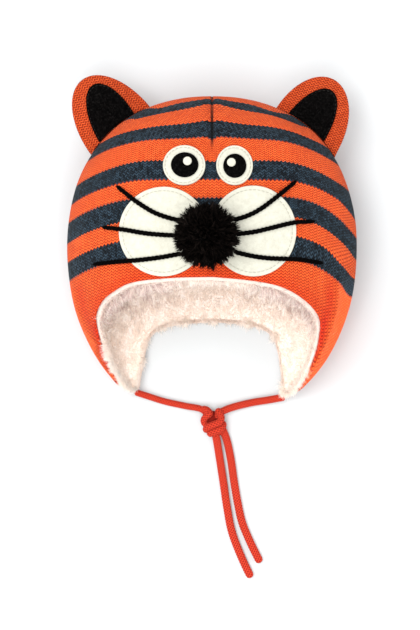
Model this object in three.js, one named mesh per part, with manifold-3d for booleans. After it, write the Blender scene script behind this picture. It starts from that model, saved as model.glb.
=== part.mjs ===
// A child's knitted tiger beanie with ear flaps, a plush lining, felt face pieces, a pompom nose and ties.
// It lies on its back as it was put down: +Z is up, the face looks up, the crown points to +Y and the ties
// to -Y. Left and right are those of someone looking at the face: left is -X. All sizes are in millimetres.
import * as THREE from "three";
import { mergeVertices } from "three/addons/utils/BufferGeometryUtils.js";
import Module from "manifold-3d";

const wasm = await Module();
wasm.setup();

// Form of the hat
const halfWidth = 99.8; // the outline seen from above, from the middle to its widest point
const widestY = -10;
const crownRise = 105.5; // from the widest line up to the tip of the crown
const crownSquareness = 2.25; // 2 would be an ellipse
const chinSquareness = 2.1;
const chinDrop = 122; // from the widest line down to where the outline would close under the chin
const sideHeight = 46; // the outline's height above the surface that the hat lies on
const faceBulge = 61; // the middle of the face above the outline
const backSag = 9; // what the surface flattens off the round back
const flapSink = 35; // how far the outline comes down towards the surface at the flaps' tips
const backSquareness = 0.8; // 1 would be an ellipse
const crownLobes = 0.02; // the four crown panels bulge between their seams
const tipY = widestY + crownRise;
const flapTipY = -111;

// Walls
const gap = 0.3;
const knitWall = 2;
const plushBacking = 3.6;
const plushLock = 2.6; // length of the locks above the backing
const feltWall = 1.4;

// The seam of the dart in the middle of the forehead, and soft creases where the flaps bend
const dart = { depth: 2.2, halfAngle: 4, fromY: 56, toY: 72 };
const creases = [
  { place: "right flap", turn: 74, y: -48, halfAngle: 9, halfLength: 24, depth: 2.4 },
  { place: "left flap", turn: -74, y: -66, halfAngle: 9, halfLength: 14, depth: 1.8 },
  { place: "right temple", turn: 63, y: 2, halfAngle: 11, halfLength: 34, depth: 1.4 },
];

// The rim, from the middle of the forehead round each flap to the nape. turn is the angle round the head in
// degrees.
const rim = {
  left: [
    { place: "forehead", turn: 0, y: -30 },
    { place: "brow", turn: 17, y: -30.8 },
    { place: "brow", turn: 34, y: -34 },
    { place: "temple", turn: 42, y: -39 },
    { place: "temple", turn: 51, y: -46.5 },
    { place: "temple corner", turn: 59, y: -58 },
    { place: "flap front", turn: 62.5, y: -70 },
    { place: "flap front", turn: 66, y: -84 },
    { place: "flap front", turn: 71, y: -94 },
    { place: "flap tip", turn: 82, y: -102.5 },
    { place: "flap tip", turn: 100, y: -105.5 },
    { place: "flap tip", turn: 116, y: -105 },
    { place: "flap back", turn: 131, y: -100.5 },
    { place: "flap back", turn: 144, y: -88 },
    { place: "flap back", turn: 150.5, y: -76 },
    { place: "nape corner", turn: 157, y: -66 },
    { place: "nape", turn: 166, y: -60.5 },
    { place: "nape", turn: 180, y: -57.5 },
  ],
  right: [
    { place: "forehead", turn: 0, y: -30 },
    { place: "brow", turn: 16, y: -32.6 },
    { place: "brow", turn: 27, y: -36 },
    { place: "temple", turn: 36, y: -41.8 },
    { place: "temple", turn: 46, y: -51 },
    { place: "temple corner", turn: 53, y: -60 },
    { place: "flap front", turn: 57, y: -71 },
    { place: "flap front", turn: 61, y: -83 },
    { place: "flap front", turn: 66, y: -94 },
    { place: "flap tip", turn: 77, y: -104.5 },
    { place: "flap tip", turn: 94, y: -109.5 },
    { place: "flap tip", turn: 112, y: -108.5 },
    { place: "flap back", turn: 129, y: -104 },
    { place: "flap back", turn: 142.5, y: -91 },
    { place: "flap back", turn: 150.5, y: -77 },
    { place: "nape corner", turn: 157, y: -66.5 },
    { place: "nape", turn: 166, y: -60.5 },
    { place: "nape", turn: 180, y: -57.5 },
  ],
};
const plushLip = 2.4; // how far the plush edge shows below the knitted one
const plushTipLip = 3.6; // the same at the flaps' tips
const columnsPerSide = 23;
const rowsDown = 15;

// Ears, sewn into the crown's side seams, and the black felt on their fronts. x and y are the middle of the
// leaf's root, lean is its direction in degrees from +X, and skew pushes its tip to one side.
const ears = {
  left: { x: -62.2, y: 71, lean: 129.5, halfWidth: 26.3, height: 45.8, skew: 1.4 },
  right: { x: 64.9, y: 72, lean: 70.5, halfWidth: 26, height: 40.4, skew: 3.7 },
};
const earFelts = {
  left: { x: -65.8, y: 74.2, lean: 125, halfWidth: 15.4, height: 33.4, skew: 3 },
  right: { x: 62, y: 70.4, lean: 48, halfWidth: 15.8, height: 35.6, skew: -3.5 },
};
const leafRoot = 13; // the length hidden behind the crown's edge, before the leaf is cut to the crown
const earMidThickness = 8;
const earEdgeThickness = 3.4;
const earZ = 43;

// Felt face pieces, each a round laid on the knit, with a row for each
const eyeFelts = [
  { name: "left", x: -18.3, y: 43.9, halfX: 13.9, halfY: 13.4, pupilX: -17.8, pupilY: 43.6,
    pupilHalfX: 8.9, pupilHalfY: 8.2, glintX: -15.9, glintY: 45.6 },
  { name: "right", x: 14.7, y: 43.8, halfX: 12, halfY: 13.3, pupilX: 14.7, pupilY: 42.9,
    pupilHalfX: 7.5, pupilHalfY: 7.9, glintX: 12.4, glintY: 44.7 },
];
const glintRadius = 2.8;
const glintWall = 0.8;
const muzzlePads = [
  { name: "left", x: -32, y: 0.2, halfX: 29.4, halfY: 29.4 },
  { name: "right", x: 27, y: 0.5, halfX: 28.3, halfY: 29.8 },
];

// Whiskers, black cords stitched down over the pads, from under the nose outwards
const whiskerWidth = 2.3;
const whiskerHeight = 1.5;
// Across and up, as shares of the width and height
const whiskerSection = [[-0.5, 0], [0.5, 0], [0.5, 0.55], [0.22, 1], [-0.22, 1], [-0.5, 0.55]];
const whiskers = [
  { name: "left_upper", path: [[-19.5, 6.6], [-30, 9.4], [-38.3, 12.8], [-50.5, 20.8], [-63, 31]] },
  { name: "left_middle", path: [[-21, -2.8], [-33, -2.2], [-44, -1], [-58, 1.6], [-73, 3.6]] },
  { name: "left_lower", path: [[-19.5, -14.4], [-32, -16.6], [-45, -18.2], [-62.5, -19.5], [-79.3, -21]] },
  { name: "right_upper", path: [[13.5, 7.2], [22.5, 10], [31.4, 14.7], [43.5, 24.1], [55.3, 34]] },
  { name: "right_middle", path: [[15, -2], [27, -0.4], [37, 2], [53, 6], [68, 7.4]] },
  { name: "right_lower", path: [[14, -13.4], [26, -16], [36.5, -17.3], [56, -18], [74, -20.3]] },
];

// Nose pompom
const nose = { x: -3.3, y: -3.7, radius: 18, lockLength: 4.8, centreAboveFace: 14.5 };

// Ties: a round braided cord from each flap's tip to the knot, and its loose end beyond the knot. Each is
// pressed a little flat where it lies, so that it is wider than it is thick.
const tieThickness = 4.2;
const tieSides = 8;
const ties = [
  { name: "tie_left", width: 4.6, steps: 16, path: [[-54.9, -109.5, 7.2], [-44, -113.2, 3.6],
    [-34, -116.4, 2.5], [-18.5, -119.8, 2.4], [-7, -122.2, 3.6], [-2, -127, 5]] },
  { name: "tie_right", width: 5.2, steps: 16, path: [[52.2, -113.1, 6.2], [40, -115.4, 3.6],
    [28.5, -117.3, 2.6], [13, -121.2, 3.2], [6, -124.4, 4.8], [2, -129, 5.6]] },
  { name: "tail_left", width: 5.6, steps: 22, path: [[1.6, -135, 5], [3.4, -144, 4.2], [5.5, -157, 2.4],
    [8.1, -174, 2.2], [10.3, -189, 2.2], [14.1, -209, 2.2], [20.6, -226.5, 2.2], [27.9, -242.2, 2.2]] },
  { name: "tail_right", width: 5.6, steps: 20, path: [[6, -133, 4], [10, -142.4, 2.6], [13.3, -157, 2.2],
    [15.8, -174, 2.2], [18.5, -189.5, 2.2], [21.6, -203, 2.2], [27.5, -217.3, 2.2], [34.5, -231.5, 2.2]] },
];

// The overhand knot that joins the ties: a core with the cord's turns round it
const knot = { x: 0.3, y: -132.4, z: 5.5, halfX: 6.4, halfY: 9.4, halfZ: 4.4 };
const knotTurns = [
  { place: "upper", y: 3.6, tilt: -24, radius: 5.7, cord: 2.4 },
  { place: "middle", y: -1.4, tilt: 20, radius: 6, cord: 2.5 },
  { place: "lower", y: -5.4, tilt: 16, radius: 4.8, cord: 2.2 },
];
const knotFlatness = 0.6; // a turn's height over its width

const colours = {
  knit: { color: 0xee5a2b, roughness: 0.95 },
  plush: { color: 0xf8efe2, roughness: 1 },
  cream: { color: 0xefeedf, roughness: 0.95 },
  black: { color: 0x0d0b0c, roughness: 0.95 },
  tie: { color: 0xe84e33, roughness: 0.9 },
};
const hat = new THREE.Group();

const padTop = gap + feltWall; // the top of a felt round above the knit
const radians = THREE.MathUtils.degToRad;
const degrees = THREE.MathUtils.radToDeg;
const smooth = THREE.MathUtils.smoothstep;

// How wide the hat is at a height y of its outline, from 0 at the tip of the crown to 1 at the widest line.
function spread(y) {
  const up = (y - widestY) / crownRise;
  if (up > 0) return Math.pow(Math.max(0, 1 - Math.pow(up, crownSquareness)), 1 / crownSquareness);
  return Math.pow(Math.max(0, 1 - Math.pow((widestY - y) / chinDrop, chinSquareness)), 1 / chinSquareness);
}

// The outline's height above the surface: level along the crown, and down towards the flaps' tips.
function outlineZ(y) {
  const down = Math.max(0, (widestY - y) / (widestY - flapTipY));
  return sideHeight - flapSink * down * down;
}

function softBump(turn, y, crease) {
  const across = (turn - crease.turn) / crease.halfAngle;
  const along = (y - crease.y) / crease.halfLength;
  return crease.depth * Math.exp(-across * across - along * along);
}

function dents(turn, y) {
  const seam = dart.depth * Math.exp(-Math.pow(turn / dart.halfAngle, 2)) * smooth(y, dart.fromY, dart.toY);
  return creases.reduce((sum, crease) => sum + softBump(turn, y, crease), seam);
}

// A point of the round hat before its dents. turn is 0 at the forehead, 90 at the right side, 180 at the back
function roundPoint(turn, y) {
  const a = radians(turn);
  const s = spread(y);
  const lobe = 1 + crownLobes * Math.pow(Math.sin(2 * a), 2) * smooth(y, widestY, tipY);
  const z0 = outlineZ(y);
  if (Math.cos(a) >= 0) {
    return new THREE.Vector3(halfWidth * s * lobe * Math.sin(a), y, z0 + faceBulge * s * lobe * Math.cos(a));
  }
  const across = Math.sign(Math.sin(a)) * Math.pow(Math.abs(Math.sin(a)), backSquareness);
  const down = Math.pow(Math.abs(Math.cos(a)), backSquareness);
  const z = z0 - (z0 + backSag) * s * down;
  return new THREE.Vector3(halfWidth * s * across, y, Math.max(0, z));
}

function outward(turn, y) {
  const step = 0.4;
  const low = Math.min(y, tipY - 0.6);
  const round = roundPoint(turn + step, low).sub(roundPoint(turn - step, low));
  const along = roundPoint(turn, low + step).sub(roundPoint(turn, low - step));
  return along.cross(round).negate().normalize();
}

// A point of the hat, at a depth below its outer face.
function hatPoint(turn, y, depth) {
  if (y > tipY - 0.01) return new THREE.Vector3(0, tipY - depth, sideHeight);
  const point = roundPoint(turn, y);
  const dent = point.z > 0 ? dents(turn, y) : 0;
  return point.addScaledVector(outward(turn, y), -(depth + dent));
}

// The point of the face at a place (x, y) seen from above, raised by height above the knit.
function facePoint(x, y, height) {
  const across = THREE.MathUtils.clamp(x / (halfWidth * spread(y)), -1, 1);
  return hatPoint(degrees(Math.asin(across)), y, -height);
}

function smoothCurve(points) {
  return new THREE.CatmullRomCurve3(points.map((p) => new THREE.Vector3(...p)), false, "centripetal");
}

// The rim's points on one side, evenly spaced from the forehead to the nape.
function rimSide(rows) {
  const perDegree = radians(1) * halfWidth;
  const curve = smoothCurve(rows.map((row) => [row.turn * perDegree, row.y, 0]));
  return curve.getSpacedPoints(columnsPerSide).map((p) => ({ turn: p.x / perDegree, y: p.y }));
}

// Every column of the hat, once round: where it starts at the crown's tip and where it meets the rim.
const columns = ["right", "left"].flatMap((side) => {
  const points = rimSide(rim[side]).map((p, i) => ({ ...p, top: (180 * i) / columnsPerSide }));
  if (side === "right") return points.slice(0, -1);
  return points.map((p) => ({ top: -p.top, turn: -p.turn, y: p.y })).reverse().slice(0, -1);
});

// A point of a column, at a share of the way down it. Equal shares are equal angles round the outline, so
// that the rows keep their spacing over the crown's tip.
function columnPoint(column, share, lip, depth) {
  const rimY = column.y - lip;
  const below = Math.min(1, (widestY - rimY) / chinDrop);
  const wholeAngle = Math.PI / 2 + Math.asin(Math.pow(below, chinSquareness / 2));
  const angle = share * wholeAngle;
  const y = angle < Math.PI / 2
    ? widestY + crownRise * Math.pow(Math.cos(angle), 2 / crownSquareness)
    : widestY - chinDrop * Math.pow(Math.sin(angle - Math.PI / 2), 2 / chinSquareness);
  const turn = column.top + (column.turn - column.top) * Math.pow(share, 1.5);
  return hatPoint(turn, y, depth);
}

// A closed solid through rings of points. A ring of one point is a pole, and the ends are closed.
function ringSolid(rings) {
  const positions = [];
  const indices = [];
  const starts = rings.map((ring) => {
    const start = positions.length / 3;
    ring.forEach((p) => positions.push(p.x, p.y, p.z));
    return start;
  });
  const join = (a, b) => {
    const na = rings[a].length;
    const nb = rings[b].length;
    for (let i = 0; i < Math.max(na, nb); i++) {
      const a0 = starts[a] + (i % na);
      const a1 = starts[a] + ((i + 1) % na);
      const b0 = starts[b] + (i % nb);
      const b1 = starts[b] + ((i + 1) % nb);
      if (na > 1) indices.push(a0, a1, b0);
      if (nb > 1) indices.push(a1, b1, b0);
    }
  };
  for (let r = 0; r + 1 < rings.length; r++) join(r, r + 1);
  const geometry = new THREE.BufferGeometry();
  geometry.setAttribute("position", new THREE.Float32BufferAttribute(positions, 3));
  geometry.setIndex(indices);
  return facingOut(geometry);
}

// Turns every face round if the solid is inside out.
function facingOut(geometry) {
  const p = geometry.getAttribute("position");
  const index = geometry.getIndex().array;
  const [a, b, c] = [new THREE.Vector3(), new THREE.Vector3(), new THREE.Vector3()];
  let volume = 0;
  for (let i = 0; i < index.length; i += 3) {
    a.fromBufferAttribute(p, index[i]);
    b.fromBufferAttribute(p, index[i + 1]);
    c.fromBufferAttribute(p, index[i + 2]);
    volume += a.dot(b.cross(c));
  }
  for (let i = 0; volume < 0 && i < index.length; i += 3) {
    [index[i], index[i + 1]] = [index[i + 1], index[i]];
  }
  return geometry;
}

const centreOf = (ring) => ring.reduce((sum, p) => sum.add(p), new THREE.Vector3()).divideScalar(ring.length);
const capped = (rings) => [[centreOf(rings[0])], ...rings, [centreOf(rings[rings.length - 1])]];

function asSolid(geometry) {
  const bare = geometry.clone();
  bare.deleteAttribute("normal");
  bare.deleteAttribute("uv");
  const merged = mergeVertices(bare, 1e-4);
  return new wasm.Manifold(new wasm.Mesh({
    numProp: 3,
    vertProperties: merged.getAttribute("position").array,
    triVerts: new Uint32Array(merged.getIndex().array),
  }));
}

function asGeometry(solid) {
  const mesh = solid.getMesh();
  const geometry = new THREE.BufferGeometry();
  geometry.setAttribute("position", new THREE.BufferAttribute(mesh.vertProperties, 3));
  geometry.setIndex(new THREE.BufferAttribute(mesh.triVerts, 1));
  return geometry;
}

function add(name, geometry, colour) {
  geometry.computeVertexNormals();
  const mesh = new THREE.Mesh(geometry, new THREE.MeshStandardMaterial({ ...colours[colour], metalness: 0 }));
  mesh.name = name;
  hat.add(mesh);
}

const shares = Array.from({ length: rowsDown + 1 }, (_, row) => row / rowsDown);

// The knitted outer hat: one wall from the crown's tip to the rim, flaps and all.
function knitShell() {
  const face = (depth) => shares.map((share) =>
    share === 0 ? [hatPoint(0, tipY, depth)] : columns.map((column) => columnPoint(column, share, 0, depth)));
  return ringSolid([...face(knitWall), ...face(0).reverse()]);
}

// The plush lining: a backing that fills the knit, with locks of pile on its inner face and round its lip.
function plushLining() {
  const outer = knitWall + gap;
  const lipOf = (column) => plushLip + (plushTipLip - plushLip) * smooth(-column.y, 95, 106);
  const lockAt = (row, i) => ((row + i) % 2 ? plushLock : 0.25 * plushLock) * smooth(row, 0, 5);
  const backing = shares.map((share) =>
    share === 0 ? [hatPoint(0, tipY, outer)] : columns.map((column) => columnPoint(column, share, 0, outer)));
  const lipFace = columns.map((column) => columnPoint(column, 1, lipOf(column), outer + 0.4));
  const pileAt = (row, share) => columns.map((column, i) =>
    columnPoint(column, share, lipOf(column), outer + plushBacking + lockAt(row, i)));
  const pile = shares.map((share, row) =>
    share === 0 ? [hatPoint(0, tipY, outer + plushBacking)] : pileAt(row, share));
  return ringSolid([...backing, lipFace, ...pile.reverse()]);
}

// The crown as one full solid, a little larger than the hat, which cuts what is seated on it.
function crownBlock(margin) {
  const rings = shares.slice(1).map((share) => columns.map((column) => {
    const y = widestY + crownRise * Math.pow(Math.cos((share * Math.PI) / 2), 2 / crownSquareness);
    return hatPoint(column.top, y, -margin);
  }));
  return asSolid(ringSolid([[hatPoint(0, tipY, -margin)], ...rings, [centreOf(rings[rings.length - 1])]]));
}

// A leaf's outline, half a leaning ellipse on a root, from one end of the root round the tip to the other.
function leafOutline(leaf) {
  const steps = 14;
  const arc = Array.from({ length: steps + 1 }, (_, i) => {
    const a = (Math.PI * i) / steps;
    return [leaf.halfWidth * Math.cos(a) + leaf.skew * Math.sin(a), leaf.height * Math.sin(a)];
  });
  return [[leaf.halfWidth * 0.94, -leafRoot], ...arc, [-leaf.halfWidth * 0.94, -leafRoot]];
}

// A leaf through layers of its outline, each drawn in towards the leaf's middle by its share, at a height z.
function leafSolid(leaf, layers) {
  const middle = 0.3 * leaf.height;
  const rings = layers.map(({ share, z }) => leafOutline(leaf).map(([x, y]) =>
    new THREE.Vector3(x * share, middle + (y - middle) * share, z)));
  return ringSolid(capped(rings)).rotateZ(radians(leaf.lean - 90)).translate(leaf.x, leaf.y, earZ);
}

// An ear, padded in the middle and thin at the edge, with its felt laid over the front.
function addEar(side, block) {
  const pad = [{ share: 1, half: 0.5 * earEdgeThickness }, { share: 0.84, half: 0.43 * earMidThickness },
    { share: 0.5, half: 0.5 * earMidThickness }];
  const layersUp = pad.map(({ share, half }) => ({ share, z: half }));
  const layersDown = pad.map(({ share, half }) => ({ share, z: -half })).reverse();
  const ear = leafSolid(ears[side], [...layersDown, ...layersUp]);
  const under = 0.5 * earMidThickness + gap;
  const felt = leafSolid(earFelts[side], [{ share: 0.5, z: under }, { share: 1, z: under },
    { share: 1, z: under + 0.7 * feltWall }, { share: 0.9, z: under + feltWall }]);
  add("ear_" + side, asGeometry(asSolid(ear).subtract(block)), "knit");
  add("ear_felt_" + side, asGeometry(asSolid(felt).subtract(block)), "black");
}

// A round of felt laid on the face, between two heights above the knit, as rounds of points.
function feltRound(x, y, halfX, halfY, low, high, sides = 28, rounds = 3) {
  const ringAt = (share, height) => Array.from({ length: sides }, (_, i) => {
    const a = (2 * Math.PI * i) / sides;
    return facePoint(x + halfX * share * Math.cos(a), y + halfY * share * Math.sin(a), height);
  });
  const steps = Array.from({ length: rounds }, (_, i) => (i + 1) / rounds);
  return ringSolid([
    [facePoint(x, y, low)],
    ...steps.map((share) => ringAt(share, low)),
    ...steps.map((share) => ringAt(share, high)).reverse(),
    [facePoint(x, y, high)],
  ]);
}

// How far a place on the face lies inside the nearer muzzle pad: under 1 on it, over 1 off it.
function padReach(x, y) {
  return Math.min(...muzzlePads.map((pad) => Math.hypot((x - pad.x) / pad.halfX, (y - pad.y) / pad.halfY)));
}

// A whisker: a flat cord that climbs from the knit onto the pad.
function whisker(path) {
  const curve = smoothCurve(path.map(([x, y]) => [x, y, 0]));
  const steps = 11;
  const rings = Array.from({ length: steps + 1 }, (_, i) => {
    const p = curve.getPointAt(i / steps);
    const t = curve.getTangentAt(i / steps);
    const base = gap + padTop * (1 - smooth(padReach(p.x, p.y), 1.05, 1.22));
    const taper = i === 0 || i === steps ? 0.6 : 1;
    return whiskerSection.map(([side, up]) => {
      const across = side * whiskerWidth * taper;
      return facePoint(p.x - t.y * across, p.y + t.x * across, base + up * whiskerHeight);
    });
  });
  return ringSolid(capped(rings));
}

// The pompom: a ball whose every facet is drawn out into a lock, flat where it is sewn on.
function pompom(block) {
  const ball = new THREE.IcosahedronGeometry(nose.radius, 2).getAttribute("position");
  const positions = [];
  for (let i = 0; i < ball.count; i += 3) {
    const corners = [0, 1, 2].map((k) => new THREE.Vector3().fromBufferAttribute(ball, i + k));
    const uneven = 0.75 + 0.25 * Math.sin(7 * i);
    const lockTip = centreOf(corners).setLength(nose.radius + nose.lockLength * uneven);
    [[0, 1], [1, 2], [2, 0]].forEach(([a, b]) =>
      [corners[a], corners[b], lockTip].forEach((p) => positions.push(p.x, p.y, p.z)));
  }
  const geometry = new THREE.BufferGeometry();
  geometry.setAttribute("position", new THREE.Float32BufferAttribute(positions, 3));
  const middle = facePoint(nose.x, nose.y, padTop + gap + nose.centreAboveFace);
  geometry.translate(middle.x, middle.y, middle.z);
  return asGeometry(asSolid(geometry).subtract(block));
}

// The face under the pompom as a full solid, raised by a height above the knit, which cuts the pompom flat.
function faceBlock(height) {
  const half = nose.radius + nose.lockLength;
  const cells = 8;
  const place = (i) => half * ((2 * i) / cells - 1);
  const at = (i, j) => facePoint(nose.x + place(i), nose.y + place(j), height);
  const line = Array.from({ length: cells + 1 }, (_, i) => i);
  const rows = line.map((j) => line.map((i) => at(i, j)));
  const below = (row) => row.map((p) => new THREE.Vector3(p.x, p.y, p.z - half));
  const loops = rows.map((row) => [...row, ...below(row).reverse()]);
  return asSolid(ringSolid(capped(loops)));
}

function tieTube(row, knotBlock) {
  const section = new THREE.Shape(Array.from({ length: tieSides }, (_, i) => {
    const a = (2 * Math.PI * (i + 0.5)) / tieSides;
    return new THREE.Vector2(0.5 * tieThickness * Math.cos(a), 0.5 * row.width * Math.sin(a));
  }));
  const route = { steps: row.steps, bevelEnabled: false, extrudePath: smoothCurve(row.path) };
  return asGeometry(asSolid(new THREE.ExtrudeGeometry(section, route)).subtract(knotBlock));
}

// The knot's core and turns, fused, and grown all over by a margin.
function knotSolid(margin) {
  const core = new THREE.SphereGeometry(1, 12, 7)
    .scale(knot.halfX + margin, knot.halfY + margin, knot.halfZ + margin);
  const turns = knotTurns.map((row) => new THREE.TorusGeometry(row.radius, row.cord + margin, 6, 12)
    .rotateX(radians(90)).scale(1, 1, knotFlatness).rotateZ(radians(row.tilt)).translate(0, row.y, 0));
  const fused = turns.reduce((sum, part) => sum.add(asSolid(part)), asSolid(core));
  return fused.translate([knot.x, knot.y, knot.z]);
}

const block = crownBlock(gap + 0.1);
add("knit_hat", knitShell(), "knit");
add("plush_lining", plushLining(), "plush");
addEar("left", block);
addEar("right", block);
eyeFelts.forEach((eye) => {
  const pupilLow = padTop + gap;
  const pupilTop = pupilLow + feltWall;
  const glintLow = pupilTop + gap;
  add("eye_white_" + eye.name, feltRound(eye.x, eye.y, eye.halfX, eye.halfY, gap, padTop, 24, 2), "cream");
  add("pupil_" + eye.name,
    feltRound(eye.pupilX, eye.pupilY, eye.pupilHalfX, eye.pupilHalfY, pupilLow, pupilTop, 20, 2), "black");
  const glintTop = glintLow + glintWall;
  add("glint_" + eye.name,
    feltRound(eye.glintX, eye.glintY, glintRadius, glintRadius, glintLow, glintTop, 14, 1), "cream");
});
muzzlePads.forEach((pad) =>
  add("muzzle_pad_" + pad.name, feltRound(pad.x, pad.y, pad.halfX, pad.halfY, gap, padTop), "cream"));
whiskers.forEach((row) => add("whisker_" + row.name, whisker(row.path), "black"));
add("nose_pompom", pompom(faceBlock(padTop + gap)), "black");
const knotBlock = knotSolid(gap + 0.1);
ties.forEach((row) => add(row.name, tieTube(row, knotBlock), "tie"));
add("tie_knot", asGeometry(knotSolid(0)), "tie");

export default hat;
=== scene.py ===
import math
from functools import partial

import bmesh
import bpy
import numpy as np
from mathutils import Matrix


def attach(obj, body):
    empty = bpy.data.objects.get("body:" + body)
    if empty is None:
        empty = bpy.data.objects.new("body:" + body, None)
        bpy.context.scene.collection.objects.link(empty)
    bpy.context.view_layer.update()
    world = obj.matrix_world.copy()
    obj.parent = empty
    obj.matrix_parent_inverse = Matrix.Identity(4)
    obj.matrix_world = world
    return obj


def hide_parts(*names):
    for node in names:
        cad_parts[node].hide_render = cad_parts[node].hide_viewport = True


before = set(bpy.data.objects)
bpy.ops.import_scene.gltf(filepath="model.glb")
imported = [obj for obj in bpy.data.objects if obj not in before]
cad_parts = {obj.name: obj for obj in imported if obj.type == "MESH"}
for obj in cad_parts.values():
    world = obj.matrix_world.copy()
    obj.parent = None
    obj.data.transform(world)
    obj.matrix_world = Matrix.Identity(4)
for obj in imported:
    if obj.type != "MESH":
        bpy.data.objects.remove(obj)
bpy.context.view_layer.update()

# Studio: a pale table, two soft lights overhead, weak ones at the sides and even light all round. The camera looks
# straight down from 1.35 m, so that the hat fills the frame as in the photograph.
CAMERA_HEIGHT_MM = 1350
CAMERA_X_MM, CAMERA_Y_MM = -1.38, -54.9
FRAMED_HEIGHT_MM, FRAMED_AT_Z_MM = 434.7, 45  # what the picture's height takes in, at the height of the hat's outline
SENSOR_MM = 36
camera = bpy.data.objects.new("camera", bpy.data.cameras.new("camera"))
camera.data.sensor_fit = "VERTICAL"
camera.data.sensor_height = SENSOR_MM
camera.data.lens = SENSOR_MM * (CAMERA_HEIGHT_MM - FRAMED_AT_Z_MM) / FRAMED_HEIGHT_MM
camera.location = (CAMERA_X_MM / 1000, CAMERA_Y_MM / 1000, CAMERA_HEIGHT_MM / 1000)
bpy.context.collection.objects.link(camera)
bpy.context.scene.camera = camera
bpy.context.scene.view_settings.view_transform = "Standard"


def linear(colour):
    """An sRGB hex colour as linear red, green, blue and alpha."""
    parts = np.array([int(colour[i : i + 2], 16) for i in (1, 3, 5)]) / 255
    return (*np.where(parts <= 0.04045, parts / 12.92, ((parts + 0.055) / 1.055) ** 2.4).tolist(), 1.0)


def add_node(tree, kind, inputs=(), colours=(), **settings):
    """Adds one node with its settings and a colour ramp's end colours. The inputs are a list in the sockets' order,
    or go by name. One given as a node or socket is linked, anything else is set."""
    node = tree.nodes.new("ShaderNode" + kind)
    for key, value in settings.items():
        setattr(node, key, value)
    for place, colour in enumerate(colours):
        node.color_ramp.elements[place].color = linear(colour)
    for key, value in inputs.items() if isinstance(inputs, dict) else enumerate(inputs):
        if isinstance(value, bpy.types.Node):
            value = value.outputs[0]
        if isinstance(value, bpy.types.NodeSocket):
            tree.links.new(value, node.inputs[key])
        else:
            node.inputs[key].default_value = value
    return node


def new_material(name):
    """An empty material, and add_node for its nodes."""
    material = bpy.data.materials.new(name)
    material.use_nodes = True
    material.node_tree.nodes.clear()
    return material, partial(add_node, material.node_tree)


def area_light(name, place, aim, size, power):
    """A square soft light at a place, turned towards another, both in metres."""
    light = bpy.data.objects.new(name, bpy.data.lights.new(name, "AREA"))
    light.data.shape = "SQUARE"
    light.data.size = size
    light.data.energy = power
    light.location = place
    way = np.array(aim) - np.array(place)
    across = math.hypot(way[0], way[1])
    light.rotation_euler = (math.atan2(across, -way[2]), 0, math.atan2(-way[0], way[1]))
    bpy.context.collection.objects.link(light)


HAT_MIDDLE = (0, -0.05, 0.03)
area_light("key_light", (-0.55, 0.3, 1.6), HAT_MIDDLE, 0.8, 15.3)
area_light("front_light", (-0.12, -0.55, 1.6), HAT_MIDDLE, 1.0, 14.6)
area_light("top_light", (0, 0.95, 0.7), (0, 0.2, 0), 0.6, 1.5)
area_light("left_light", (-0.9, -0.3, 0.4), (0, -0.03, 0.04), 0.6, 1.9)
area_light("right_light", (0.9, -0.3, 0.4), (0, -0.03, 0.04), 0.6, 2.4)
world = bpy.data.worlds.new("studio")
world.use_nodes = True
world.node_tree.nodes["Background"].inputs["Color"].default_value = linear("#FFFFFF")
world.node_tree.nodes["Background"].inputs["Strength"].default_value = 0.93
bpy.context.scene.world = world

TABLE_M, TABLE_DROP_M = 8.0, 0.0003
table_corners = [(x * TABLE_M, y * TABLE_M, -TABLE_DROP_M) for x, y in ((-1, -1), (1, -1), (1, 1), (-1, 1))]
table_mesh = bpy.data.meshes.new("table")
table_mesh.from_pydata(table_corners, [], [(0, 1, 2, 3)])
table = bpy.data.objects.new("table", table_mesh)
bpy.context.collection.objects.link(table)
table_paint, node = new_material("matt_white_table")
node("OutputMaterial", [node("BsdfPrincipled", {"Base Color": linear("#CACDCE"), "Roughness": 0.9,
                                                "Specular IOR Level": 0.1})])
table_mesh.materials.append(table_paint)

# The outer hat: machine-knitted in orange and heathered navy acrylic, in four panels that a dart seam joins at the
# forehead, the sides and the back of the crown. Its hem runs round the brow, both flaps and the nape.
HALF_WIDTH, CROWN_RISE, CHIN_DROP, WIDEST_Y = 99.8, 105.5, 122.0, -10.0
CROWN_SQUARENESS, CHIN_SQUARENESS, BACK_SQUARENESS = 2.25, 2.1, 0.8
SIDE_HEIGHT, FACE_BULGE, BACK_SAG, FLAP_SINK, FLAP_TIP_Y = 46.0, 61.0, 9.0, 35.0, -111.0
CROWN_LOBES, TIP_Y = 0.02, WIDEST_Y + CROWN_RISE
DART_DEPTH, DART_HALF_ANGLE, DART_FROM_Y, DART_TO_Y = 1.9, 3, 54, 74
# turn and y of the middle, half sizes in degrees and mm, depth
CREASES = [(74, -48, 9, 24, 2.4), (-74, -66, 9, 14, 1.8), (63, 2, 11, 34, 1.4)]
KNIT_WALL = 2.0
# The rim, from the forehead to the nape: the angle round the head in degrees, and y
RIM_LEFT = [(0, -30), (17, -30.8), (34, -34), (42, -39), (51, -46.5), (59, -58), (62.5, -70), (66, -84), (71, -94),
            (82, -102.5), (100, -105.5), (116, -105), (131, -100.5), (144, -88), (150.5, -76), (157, -66),
            (166, -60.5), (180, -57.5)]
RIM_RIGHT = [(0, -30), (16, -32.6), (27, -36), (36, -41.8), (46, -51), (53, -60), (57, -71), (61, -83), (66, -94),
             (77, -104.5), (94, -109.5), (112, -108.5), (129, -104), (142.5, -91), (150.5, -77), (157, -66.5),
             (166, -60.5), (180, -57.5)]


def ease(x, low, high):
    """0 below low and 1 above high, with a smooth step between: 3t^2 - 2t^3."""
    t = np.clip((np.asarray(x, float) - low) / (high - low), 0, 1)
    return t * t * (3 - 2 * t)


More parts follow.
